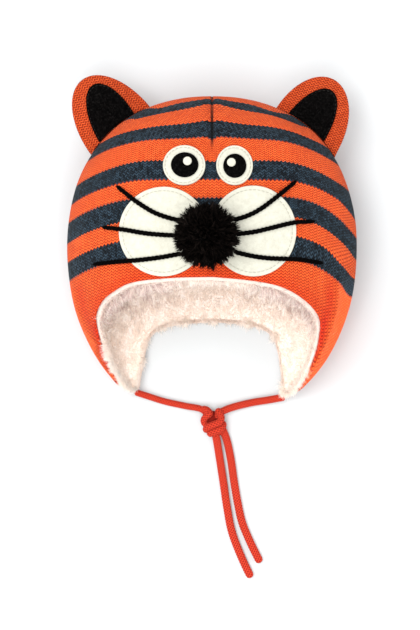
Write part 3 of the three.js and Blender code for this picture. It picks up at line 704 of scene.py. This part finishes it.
for name, face, count, density in (("lining_pile_front", pile_face, 52000, in_view),
                                   ("lining_pile_back", pile_face, 22000, out_of_view),
                                   ("lining_pile_edge", rolled_edge[1:], 34000, low_edge),
                                   ("lining_pile_brow", rolled_edge[-4:], 2400, brow),
                                   ("lining_pile_border", rolled_edge[-6:-2], 3200, left_border)):
    roots, normal = scatter(face, count, density)
    lean = tuft_lean(roots, tufts)
    growth = 0.7 * normal + 0.4 * lean + [0, -0.5, 0] + 0.28 * rng.normal(size=roots.shape)
    curl = 0.45 * lean + [0, -0.35, -0.2] + 0.35 * rng.normal(size=roots.shape)
    length = PILE_LENGTH * rng.uniform(0.6, 1.15, count)
    width = PILE_WIDTH * rng.uniform(0.6, 1.3, count)
    # painted shade, mauve, on the pile in the mouth's upper corners
    painted_shade = under_brow(roots) if name == "lining_pile_front" else 0.0
    if name == "lining_pile_edge":
        low = low_down(roots)
        growth = 0.9 * normal + 0.3 * lean + [0, -0.2, 0] + 0.25 * rng.normal(size=roots.shape)
        length *= 0.4 + 0.5 * low
        # painted shade on the short edge pile over the brow, where the lights fall strongly
        painted_shade = 0.6 * (1 - low)
    if name == "lining_pile_brow":
        aside = ease(np.abs(roots[:, 0]), 12, 40)
        lean = tuft_lean(roots, tuft_waves(12, 5, 12))
        lean /= np.maximum(1, np.linalg.norm(lean, axis=1, keepdims=True))
        growth = hang(roots) + 0.8 * lean + 0.12 * rng.normal(size=roots.shape)
        curl = 0.7 * lean + 0.2 * rng.normal(size=roots.shape)
        length *= 0.9 + 0.6 * aside
        width *= 0.75
        # painted shade on the brow's hanging strands, more towards the corners
        painted_shade = 0.3 + 0.5 * aside
    if name == "lining_pile_border":
        growth = np.array([-0.45, -0.15, 0.9]) + 0.2 * lean + 0.12 * rng.normal(size=roots.shape)
        curl = 0.35 * lean + [-0.6, -0.2, -1.1] + 0.2 * rng.normal(size=roots.shape)
    points, faces, uv = hairs(roots - normal * ROOT_DEPTH, normal, growth, curl, length, width, painted_shade)
    points[:, 2] = np.maximum(points[:, 2], TABLE_GAP)
    pile = new_piece(name, points, faces, pile_yarn, uv, closed=False)

# The ears: padded leaves of plain orange knit with a little filling, sewn into the crown's side seams. For each and
# for its felt: the root's x and y, the way it points in degrees, half its width, its height, and its lean.
LEAF_ROOT, EAR_Z, EAR_EDGE, EAR_MIDDLE = 13, 43, 1.7, 4.0
SIDE_SHARE, TIP_SHARE = 0.14, 0.72  # how much of a leaf's rim each side is, and the tip's curve
CROWN_GAP = 0.5
EARS = {"left": (-62.2, 71, 129.5, 26.3, 45.8, 1.4), "right": (64.9, 72, 70.5, 26, 40.4, 3.7)}
EAR_FELTS = {"left": (-65.8, 74.2, 125, 15.4, 33.4, 3), "right": (62, 70.4, 48, 15.8, 35.6, -3.5)}
EAR_CLOTH_AT = (0, 200)  # where on the cloth the ears are cut
# the ears are knitted of the hat's orange yarn; this darker copy of its colours is painted shade
shaded_ear_knit = knit_material("plain_acrylic_knit_shaded", "#701605", "#C0471E", "#D8582A", None)


def leaf_rim(leaf, t):
    """The leaf's outline from t = 0 to 1 as places from its hidden root's middle: a short straight side, half a
    leaning ellipse round the tip, and the other side."""
    half, height, skew = leaf[3:]
    q = np.clip(SIDE_SHARE - t, 0, None) / SIDE_SHARE + np.clip(t - (1 - SIDE_SHARE), 0, None) / SIDE_SHARE
    a = math.pi * np.clip((t - SIDE_SHARE) / TIP_SHARE, 0, 1)
    x = (half * np.cos(a) + skew * np.sin(a)) * (1 - 0.06 * q)
    return np.stack([x, height * np.sin(a) - LEAF_ROOT * q + LEAF_ROOT], -1)


def leaf_place(leaf, local):
    """From places counted from the leaf's hidden root to x and y on the hat, and back with leaf_local."""
    turn = math.radians(leaf[2] - 90)
    x, y = local[..., 0], local[..., 1] - LEAF_ROOT
    return np.stack([leaf[0] + x * math.cos(turn) - y * math.sin(turn),
                     leaf[1] + x * math.sin(turn) + y * math.cos(turn)], -1)


def leaf_local(leaf, place):
    turn = math.radians(leaf[2] - 90)
    x, y = place[..., 0] - leaf[0], place[..., 1] - leaf[1]
    return np.stack([x * math.cos(turn) + y * math.sin(turn),
                     -x * math.sin(turn) + y * math.cos(turn) + LEAF_ROOT], -1)


def in_crown(place, z, margin):
    """Whether a point lies inside the hat's outer face grown by a margin."""
    x, y = np.abs(place[..., 0]), place[..., 1]
    s, z0 = spread(y - margin), outline_z(y)
    power = np.where(z > z0, 2, 2 / BACK_SQUARENESS)
    tall = np.where(z > z0, FACE_BULGE, z0 + BACK_SAG)
    return (x / (HALF_WIDTH * s + margin + 1e-6)) ** power + (np.abs(z - z0) / (tall * s + margin + 1e-6)) ** power < 1


def ear_swell(ear, local):
    """Half an ear's thickness: a round edge, then a soft rise towards the middle. It depends on how far the place
    lies inside the outline, on the line from the hidden root's middle."""
    rim = leaf_rim(ear, np.linspace(0, 1, 400))
    bearing = np.arctan2(rim[:, 1], rim[:, 0])
    reach = np.interp(np.arctan2(local[..., 1], local[..., 0]), bearing, np.hypot(rim[:, 0], rim[:, 1]))
    inside = np.clip(reach - np.hypot(local[..., 0], local[..., 1]), 0, None)
    edge = np.sqrt(1 - (1 - np.clip(inside / EAR_EDGE, 0, 1)) ** 2)
    return EAR_EDGE * edge + (EAR_MIDDLE - EAR_EDGE) * ease(inside, 1, 13)


def leaf_grid(leaf, around, rows, high, low):
    """A leaf's front from its root to its edge, then its back, for each of around places on its outline. high and
    low give the two faces' z at places from the root. Rows start where the leaf leaves the crown."""
    t = np.linspace(0, 1, 2000)
    rim = leaf_rim(leaf, t)
    place = leaf_place(leaf, rim)
    out = ~in_crown(place, high(rim), CROWN_GAP) & ~in_crown(place, low(rim), CROWN_GAP)
    t = np.linspace(t[out].min(), t[out].max(), around)
    rim = leaf_rim(leaf, t)
    near, far = np.zeros(around), np.ones(around)
    for _ in range(20):
        share = (near + far) / 2
        local = rim * share[:, None]
        at = leaf_place(leaf, local)
        hidden = in_crown(at, high(local), CROWN_GAP) | in_crown(at, low(local), CROWN_GAP)
        near, far = np.where(hidden, share, near), np.where(hidden, far, share)
    steps = np.sin(np.linspace(0, math.pi / 2, rows))[:, None]
    share = far + (1 - far) * steps
    local = rim[None] * share[..., None]
    front = np.concatenate([leaf_place(leaf, local), high(local)[..., None]], -1)
    back = np.concatenate([leaf_place(leaf, local), low(local)[..., None]], -1)[::-1]
    return np.concatenate([front, back]), np.concatenate([local, local[::-1]])


def wrapped_quads(points):
    """The quads of a grid whose last row joins the first."""
    rows, columns = points.shape[:2]
    first = np.arange(columns - 1)
    last = first + (rows - 1) * columns
    return np.vstack([grid_quads(rows, columns), np.stack([last, last + 1, first + 1, first], -1)])


for side, ear in EARS.items():
    points, local = leaf_grid(ear, 150, 34, lambda p: EAR_Z + ear_swell(ear, p), lambda p: EAR_Z - ear_swell(ear, p))
    quads = wrapped_quads(points)
    uv = local.reshape(-1, 2)[quads] + EAR_CLOTH_AT
    piece = new_piece("ear_knit_" + side, points, quads, shaded_ear_knit, uv)
    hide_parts("ear_" + side)

# The ears' felts: a leaf of black wool felt on each ear's front, cut to shape and sewn with black thread 1.6 mm
# inside its edge.
FELT_WALL, FELT_SOFT_EDGE, SEAM_INSIDE, SEAM_DEPTH = 1.4, 0.7, 1.6, 0.45


def felt_material(name, colour, dark, fleck, gloss):
    """Pressed wool felt: matted fibres with light and dark flecks, a soft edge and no shine. The fibres are too fine
    to show, so the flecks are drawn about a millimetre long."""
    material, node = new_material(name)
    place = node("TexCoord").outputs["Object"]
    cloud = node("TexNoise", {"Vector": place, "Scale": 260, "Detail": 6, "Roughness": 0.7})
    fibres = node("TexNoise", {"Vector": place, "Scale": 1000, "Detail": 3, "Distortion": 1.5})
    tone = node("ValToRGB", [cloud], (dark, colour))
    tone.color_ramp.elements[0].position, tone.color_ramp.elements[1].position = 0.35, 0.65
    mixed = node("MixRGB", [node("MapRange", [fibres, 0.53, 0.66, 0.0, 0.3]), tone, linear(fleck)])
    bump = node("Bump", {"Height": fibres, "Strength": 0.5, "Distance": 0.0004})
    node("OutputMaterial", [node("BsdfPrincipled", {
        "Base Color": mixed, "Roughness": 1.0, "Specular IOR Level": gloss, "Sheen Weight": gloss / 4,
        "Normal": bump})])
    return material


def yarn_material(name, dark, light, gloss):
    """Spun, plied or braided yarn: painted shade in the hollows between its strands, with loose fibres. The
    painted shade along the strands comes from the mesh's own map."""
    material, node = new_material(name)
    place = node("TexCoord").outputs["Object"]
    _, shade, _ = node("SeparateXYZ", [node("UVMap", uv_map="cloth")]).outputs
    tone = node("ValToRGB", [node("MapRange", [shade, 0.35])], (dark, light))
    fibres = node("TexNoise", {"Vector": place, "Scale": 1200, "Detail": 4})
    worn = node("MapRange", [fibres, 0.3, 0.7, 0.8, 1.1])
    colour = node("MixRGB", [1.0, tone, worn], blend_type="MULTIPLY")
    bump = node("Bump", {"Height": fibres, "Strength": 0.4, "Distance": 0.0003})
    node("OutputMaterial", [node("BsdfPrincipled", {
        "Base Color": colour, "Roughness": 0.9, "Specular IOR Level": gloss, "Sheen Weight": gloss / 4,
        "Normal": bump})])
    return material


def yarn_uv(shade, faces):
    """The map that yarn_material reads, with each corner's shade as its v."""
    return np.stack([0 * shade, shade], -1)[faces]


# the thread is drawn 0.54 mm thick, nearly twice a real one, so that it shows
STITCH_LENGTH, STITCH_GAP, THREAD_RADIUS, STITCH_RISE, STITCH_DIP = 2.6, 0.2, 0.27, 0.3, 0.15
STITCH_RINGS, STITCH_SIDES = 7, 6
cream_thread = yarn_material("cream_sewing_thread", "#949184", "#B0ADA0", 0.1)
black_thread = yarn_material("black_sewing_thread", "#0A0909", "#242220", 0.1)


def angles(count):
    """Evenly spaced angles, once round."""
    return np.linspace(0, 2 * math.pi, count, endpoint=False)


def thread_stitches(name, line, surface, material):
    """A row of stitches along a line seen from above. Each is a tube of a few rings of points that shrinks to
    nothing at its ends, where it dips into the felt: its height is a parabola along it."""
    run = run_along(line)
    count = int(run[-1] / (STITCH_LENGTH + STITCH_GAP))
    t = np.linspace(-1, 1, STITCH_RINGS)
    at = (np.arange(count) + 0.5)[:, None] * run[-1] / count + t * STITCH_LENGTH / 2
    x, y = np.interp(at, run, line[:, 0]), np.interp(at, run, line[:, 1])
    height = STITCH_RISE * (1 - t**2) - STITCH_DIP + 0 * x
    centres = surface(x, y, height)
    up = surface(x, y, height + 1) - centres
    side = unit(np.cross(np.gradient(centres, axis=1), up))
    a = angles(STITCH_SIDES)
    radius = (THREAD_RADIUS * np.sqrt(1 - t**2))[None, :, None, None]
    rings = centres[:, :, None] + radius * (side[:, :, None] * np.cos(a)[:, None] + up[:, :, None] * np.sin(a)[:, None])
    first = STITCH_RINGS * STITCH_SIDES * np.arange(count)[:, None, None]
    quads = (grid_quads(STITCH_RINGS, STITCH_SIDES, wrap=True)[None] + first).reshape(-1, 4)
    # painted shade: each stitch darker towards its ends, where it dips into the felt
    shade = np.broadcast_to(1 - 0.5 * np.abs(t)[None, :, None], rings.shape[:-1]).ravel()
    return new_piece(name, rings, quads, material, yarn_uv(shade, quads))


black_felt = felt_material("black_wool_felt", "#050404", "#010101", "#2B2928", 0.02)
cream_felt = felt_material("cream_wool_felt", "#C8C7B9", "#BAB8AA", "#DBD9CC", 0.08)


def felt_top(inside, seam_at):
    """How far a felt's top lies under its full height: a quarter circle down at the edge, and a groove at the seam."""
    edge = 1 - np.sqrt(1 - (1 - np.clip(inside / FELT_SOFT_EDGE, 0, 1)) ** 2)
    return edge * FELT_SOFT_EDGE + SEAM_DEPTH * np.exp(-(((inside - seam_at) / 0.5) ** 2))


for side, felt in EAR_FELTS.items():
    ear = EARS[side]

    def laid(p):
        """The z of the felt's underside: the ear's front and a small gap."""
        return EAR_Z + ear_swell(ear, leaf_local(ear, leaf_place(felt, p))) + CLOTH_GAP

    def rim_distance(p):
        rim = leaf_rim(felt, np.linspace(0, 1, 300))
        return np.sqrt(((p[..., None, :] - rim) ** 2).sum(-1).min(-1))

    def topped(p):
        return laid(p) + FELT_WALL - felt_top(rim_distance(p), SEAM_INSIDE)

    points, local = leaf_grid(felt, 120, 26, topped, laid)
    piece = new_piece("ear_inner_felt_" + side, points, wrapped_quads(points), black_felt)
    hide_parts("ear_felt_" + side)

    def felt_surface(x, y, height):
        """The felt's top in its seam groove, raised by a height."""
        z = EAR_Z + ear_swell(ear, leaf_local(ear, np.stack([x, y], -1))) + CLOTH_GAP + FELT_WALL - SEAM_DEPTH
        return np.stack([x, y, z + height], -1)

    rim = leaf_rim(felt, np.linspace(0, 1, 600))
    seam = leaf_place(felt, rim * (1 - SEAM_INSIDE / np.linalg.norm(rim, axis=1, keepdims=True)))
    seam = seam[~in_crown(seam, EAR_Z + 5, 1.5)]
    stitches = thread_stitches("ear_stitches_" + side, seam, felt_surface, black_thread)

# Face felts: cream rounds for the eyes and muzzle, black pupils, white glints, all laid on the knit and sewn close to
# their edges. For each eye: the white's x, y and half sizes, the pupil's, and the glint's x and y. For each pad: its
# x, y and half sizes.
EYES = [("left", -18.3, 43.9, 13.9, 13.4, -17.8, 43.6, 8.9, 8.2, -15.9, 45.6),
        ("right", 14.7, 43.8, 12, 13.3, 14.7, 42.9, 7.5, 7.9, 12.4, 44.7)]
GLINT_RADIUS, GLINT_WALL, PAD_TOP = 2.8, 0.8, 1.7
EYE_SEAM, PUPIL_SEAM, PAD_SEAM, NO_SEAM = 1.5, 1.0, 2.7, 9  # how far inside its edge a round is sewn
PADS = [("left", -32, 0.2, 29.4, 29.4), ("right", 27, 0.5, 28.3, 29.8)]


def felt_round(name, x, y, half_x, half_y, low, high, material, seam_at, around=120, rounds=26):
    """A round from its middle below, out to the edge, and back over the top to its middle, as circles of points
    whose top follows felt_top."""
    a = angles(around)
    share = np.sin(np.linspace(0, math.pi / 2, rounds))[:, None]
    size = min(half_x, half_y)
    px, py = x + half_x * share * np.cos(a), y + half_y * share * np.sin(a)
    top = high - np.minimum(felt_top((1 - share) * size, seam_at), high - low)
    under = face_point(px, py, low + 0 * px)
    over = face_point(px, py, top + 0 * px)
    points = np.concatenate([under, over[::-1]])
    return new_piece(name, points, grid_quads(len(points), around, wrap=True), material)


def round_seam(x, y, half_x, half_y, inside):
    """The seam's line in a round: an ellipse as far inside its edge."""
    a = np.linspace(0, 2 * math.pi, 400)
    return np.stack([x + (half_x - inside) * np.cos(a), y + (half_y - inside) * np.sin(a)], -1)


def seam_surface(x, y, height):
    return face_point(x, y, PAD_TOP - SEAM_DEPTH + height)


for side, x, y, half_x, half_y, px, py, phx, phy, gx, gy in EYES:
    low = PAD_TOP + CLOTH_GAP
    glint_low = low + FELT_WALL + CLOTH_GAP
    white = felt_round("eye_felt_" + side, x, y, half_x, half_y, CLOTH_GAP, PAD_TOP, cream_felt, EYE_SEAM)
    dark = felt_round("pupil_felt_" + side, px, py, phx, phy, low, low + FELT_WALL, black_felt, PUPIL_SEAM)
    spot = felt_round("glint_felt_" + side, gx, gy, GLINT_RADIUS, GLINT_RADIUS, glint_low, glint_low + GLINT_WALL,
                      cream_felt, NO_SEAM, 40, 8)
    for piece, solid, slot in ((white, "eye_white_", "cream_felt"), (dark, "pupil_", "black_felt"),
                               (spot, "glint_", "cream_felt")):
        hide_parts(solid + side)
    seam = round_seam(x, y, half_x, half_y, EYE_SEAM)
    stitches = thread_stitches("eye_stitches_" + side, seam, seam_surface, cream_thread)
for side, x, y, half_x, half_y in PADS:
    pad = felt_round("muzzle_felt_" + side, x, y, half_x, half_y, CLOTH_GAP, PAD_TOP, cream_felt, PAD_SEAM, 180, 44)
    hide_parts("muzzle_pad_" + side)
    seam = round_seam(x, y, half_x, half_y, PAD_SEAM)
    stitches = thread_stitches("pad_stitches_" + side, seam, seam_surface, cream_thread)

# Whiskers: cords of three plies of black acrylic yarn, laid from under the nose outwards over the pads and the
# knit, and stitched down.
WHISKER_WIDTH, WHISKER_HEIGHT, WHISKER_PLIES, PLY_PITCH = 2.9, 1.7, 3, 8.5
WHISKER_STEPS, WHISKER_SIDES = 150, 14
WHISKERS = {
    "left_upper": [(-19.5, 6.6), (-30, 9.4), (-38.3, 12.8), (-50.5, 20.8), (-63, 31)],
    "left_middle": [(-21, -2.8), (-33, -2.2), (-44, -1), (-58, 1.6), (-73, 3.6)],
    "left_lower": [(-19.5, -14.4), (-32, -16.6), (-45, -18.2), (-62.5, -19.5), (-79.3, -21)],
    "right_upper": [(13.5, 7.2), (22.5, 10), (31.4, 14.7), (43.5, 24.1), (55.3, 34)],
    "right_middle": [(15, -2), (27, -0.4), (37, 2), (53, 6), (68, 7.4)],
    "right_lower": [(14, -13.4), (26, -16), (36.5, -17.3), (56, -18), (74, -20.3)],
}


def tube(centres, side, up, radius_side, radius_up, relief):
    """A closed tube round a path. A ring's points go round by an angle, out along side and up by the two radii,
    times 1 plus the relief, and the ends are closed by rings that shrink to a point."""
    sides = relief.shape[1]
    a, scale = angles(sides), 1 + relief
    ring = (centres[:, None] + side[:, None] * (radius_side[:, None] * np.cos(a) * scale)[..., None]
            + up[:, None] * (radius_up[:, None] * np.sin(a) * scale)[..., None])
    ends = [np.repeat(c[None, None], sides, 1) for c in (centres[0], centres[-1])]
    return np.concatenate([ends[0], ring, ends[1]])


def end_shade(shade):
    """The shade of a tube's points, with the closed ends' like their neighbours'."""
    return np.pad(shade, ((1, 1), (0, 0)), mode="edge").ravel()


def frame_of(centres, up_hint):
    """The ways to the side and up along a path, with side level to the hint."""
    tangent = unit(np.gradient(centres, axis=0))
    side = unit(np.cross(tangent, up_hint))
    return side, np.cross(side, tangent)


black_yarn = yarn_material("black_acrylic_yarn", "#010101", "#070505", 0.02)
for name, path in WHISKERS.items():
    flat = smooth_path(path, WHISKER_STEPS)
    reach = np.min([np.hypot((flat[:, 0] - x) / hx, (flat[:, 1] - y) / hy) for _, x, y, hx, hy in PADS], axis=0)
    base = CLOTH_GAP + PAD_TOP * (1 - ease(reach, 1.05, 1.22))
    centres = face_point(flat[:, 0], flat[:, 1], base + WHISKER_HEIGHT / 2)
    above = face_point(flat[:, 0], flat[:, 1], base + WHISKER_HEIGHT / 2 + 1) - centres
    side, up = frame_of(centres, above)
    run = np.linspace(0, 1, WHISKER_STEPS)
    taper = np.sqrt(ease(run, -0.005, 0.03) * ease(1 - run, -0.005, 0.05)) * (1 - 0.1 * ease(run, 0.6, 1))
    twist = angles(WHISKER_SIDES)[None] - 2 * math.pi * run_along(centres)[:, None] / PLY_PITCH
    ridge = np.abs(np.cos(WHISKER_PLIES * twist / 2))
    points = tube(centres, side, up, WHISKER_WIDTH / 2 * taper, WHISKER_HEIGHT / 2 * taper, 0.4 * (ridge - 0.6))
    quads = grid_quads(WHISKER_STEPS + 2, WHISKER_SIDES, wrap=True)
    piece = new_piece("whisker_yarn_" + name, points, quads, black_yarn, yarn_uv(end_shade(ridge), quads))
    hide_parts("whisker_" + name)

# The nose: a pompom of black fur, its hairs in tufts all round, sewn on between the pads. Its middle, how high that
# lies over the felt, the radius of the hidden core, and how far the hairs reach.
NOSE_X, NOSE_Y, NOSE_ABOVE_FACE, NOSE_CORE, NOSE_REACH = -3.3, -3.7, 14.5, 14.0, 23.2
nose_middle = face_point(NOSE_X, NOSE_Y, PAD_TOP + CLOTH_GAP + NOSE_ABOVE_FACE)
black_fur = fur_material("black_pompom_fur", "#010101", "#020202", "#27201D", 0.6, 0.02, 0, 0)


def on_pads(points):
    """Lifts what would lie in the face onto it."""
    floor = face_point(points[:, 0], points[:, 1], PAD_TOP + CLOTH_GAP)[:, 2]
    points[:, 2] = np.maximum(points[:, 2], floor)
    return points


def pompom_hairs(count=27000, tuft_count=900):
    """Each hair, drawn as wide as a lock of real ones, grows from the core straight out, and its outer half leans to
    the middle of the nearest tuft and with that tuft's own tilt, so that tufts end in points of different lengths."""
    way, centre = rng.normal(size=(count, 3)), rng.normal(size=(tuft_count, 3))
    way, centre = unit(way), unit(centre)
    own = (way @ centre.T).argmax(1)
    tilt = 0.25 * rng.normal(size=(tuft_count, 3))
    length = (NOSE_REACH - NOSE_CORE + 2) * rng.uniform(0.86, 1.1, tuft_count)[own] * rng.uniform(0.75, 1.04, count)
    lean = 4.5 * (centre[own] - way) + 1.5 * tilt[own] + 0.1 * rng.normal(size=way.shape)
    growth = way + 1.2 * (centre[own] - way) + 0.4 * tilt[own]
    width = 0.85 * rng.uniform(0.6, 1.2, count)
    return hairs(nose_middle + way * (NOSE_CORE - 2), rng.normal(size=way.shape), growth, lean, length, width)


def ball_points(around, rows):
    """A ball of radius 1, as rings of points from pole to pole."""
    a, b = np.meshgrid(angles(around), np.linspace(0, math.pi, rows))
    return np.stack([np.sin(b) * np.cos(a), np.sin(b) * np.sin(a), np.cos(b)], -1)


points, faces, uv = pompom_hairs()
nose = new_piece("nose_fur", on_pads(points), faces, black_fur, uv, closed=False)
ball = ball_points(48, 25)
ball = nose_middle + ball * (NOSE_CORE + 1.2 * tuft_height(ball * NOSE_CORE, tuft_waves(10, 5, 6)))[..., None]
core = new_piece("nose_core", on_pads(ball.reshape(-1, 3)), grid_quads(25, 48, wrap=True), black_felt)
for piece in (nose, core):
    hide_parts("nose_pompom")

# The ties: round braided cotton cord, pressed a little flat, from each flap's tip to the knot and on beyond it. They
# lie on the table. For each: its width and the points that it passes.
TIE_THICKNESS, CORD_STEP = 4.2, 0.4
TIES = {
    "tie_left": (4.6, [(-54.9, -109.5, 7.2), (-44, -113.2, 3.6), (-34, -116.4, 2.5), (-18.5, -119.8, 2.4),
                       (-7, -122.2, 3.6), (-2, -127, 5)]),
    "tie_right": (5.2, [(52.2, -113.1, 6.2), (40, -115.4, 3.6), (28.5, -117.3, 2.6), (13, -121.2, 3.2),
                        (6, -124.4, 4.8), (2, -129, 5.6)]),
    "tail_left": (5.6, [(1.6, -135, 5), (3.4, -144, 4.2), (5.5, -157, 2.4), (8.1, -174, 2.2), (10.3, -189, 2.2),
                        (14.1, -209, 2.2), (20.6, -226.5, 2.2), (27.9, -242.2, 2.2)]),
    "tail_right": (5.6, [(6, -133, 4), (10, -142.4, 2.6), (13.3, -157, 2.2), (15.8, -174, 2.2), (18.5, -189.5, 2.2),
                         (21.6, -203, 2.2), (27.5, -217.3, 2.2), (34.5, -231.5, 2.2)]),
}
# the length of cord from one crossing of its strands to the next but one, and how many strands it has
BRAID_PITCH, BRAID_STRANDS, BRAID_RELIEF, CORD_SIDES = 2.0, 12, 0.11, 48
cord_yarn = yarn_material("braided_cotton_cord", "#78170E", "#D4412C", 0.1)


def braid(a, along):
    """The relief of a braid: two sets of strands that wind round the cord in opposite ways, one over the other in
    turn, each a rounded rib."""
    one = np.cos(BRAID_STRANDS / 2 * a - 2 * math.pi * along / BRAID_PITCH)
    two = np.cos(BRAID_STRANDS / 2 * a + 2 * math.pi * along / BRAID_PITCH)
    return np.maximum(one, two)


def cord_skin(centres, width, thickness, up_hint):
    """The points, quads and shade of a braided cord along a path, with rounded ends."""
    side, up = frame_of(centres, up_hint)
    along = run_along(centres)
    ridge = braid(angles(CORD_SIDES)[None], along[:, None])
    from_end = np.minimum(along, along[-1] - along)
    round_end = np.sqrt(1 - (1 - np.clip(from_end / (width / 2), 0, 1)) ** 2)
    points = tube(centres, side, up, width / 2 * round_end, thickness / 2 * round_end, BRAID_RELIEF * (ridge - 0.8))
    points[..., 2] = np.maximum(points[..., 2], 0)
    return points.reshape(-1, 3), grid_quads(len(centres) + 2, CORD_SIDES, wrap=True), end_shade(ridge * 0.5 + 0.5)


for name, (width, path) in TIES.items():
    centres = smooth_path(path, int(run_along(smooth_path(path, 60))[-1] / CORD_STEP))
    points, quads, shade = cord_skin(centres, width, TIE_THICKNESS, np.array([0, 0, 1.0]))
    piece = new_piece("cord_" + name, points, quads, cord_yarn, yarn_uv(shade, quads))
    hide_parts(name)

# The knot: both cords tied in one overhand knot and pulled tight. The left cord goes in over the top, the right one
# winds round both in two turns, and the loose ends come out below.
KNOT_MIDDLE, KNOT_CORE = (0.8, -131.5, 4.4), (5.0, 8.5, 3.4)
KNOT_WIDTH, KNOT_THICKNESS = 5.0, 4.8
KNOT_RUNS = [
    [(-7.4, -121.4, 3.4), (-3.4, -122.6, 6.2), (-1.8, -125.0, 7.8), (-4.4, -127.2, 7.4), (-5.8, -130.2, 6.2),
     (-3.6, -133.6, 5.4), (0.4, -137.0, 5.0), (1.6, -140.0, 4.6)],
    [(3.4, -122.0, 4.6), (5.4, -124.4, 7.2), (6.6, -127.8, 8.4), (5.2, -130.8, 9.6), (1.2, -132.6, 10.2),
     (-2.8, -134.4, 8.6), (-4.2, -136.2, 5.4), (-2.6, -136.8, 3.0)],
    [(7.6, -131.0, 3.2), (8.0, -133.4, 5.8), (6.2, -135.8, 8.4), (2.4, -137.4, 9.0), (-1.0, -139.0, 7.0),
     (-1.6, -139.4, 4.4)],
    [(4.2, -133.5, 4.2), (5.8, -137.0, 4.6), (7.6, -140.0, 3.4)],
]
skins = []
for path in KNOT_RUNS:
    centres = smooth_path(path, 70)
    skins.append(cord_skin(centres, KNOT_WIDTH, KNOT_THICKNESS, centres - KNOT_MIDDLE + [0, 0, 0.01]))
ball = ball_points(32, 17).reshape(-1, 3)
# the core between the turns is painted in the cord's dark colour, as shade
skins.append((ball * KNOT_CORE + KNOT_MIDDLE, grid_quads(17, 32, wrap=True), np.full(len(ball), 0.35)))
start = np.cumsum([0] + [len(skin[0]) for skin in skins[:-1]])
quads = np.vstack([skin[1] + first for skin, first in zip(skins, start)])
shade = np.concatenate([skin[2] for skin in skins])
knot = new_piece("cord_knot", np.vstack([skin[0] for skin in skins]), quads, cord_yarn, yarn_uv(shade, quads))
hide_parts("tie_knot")
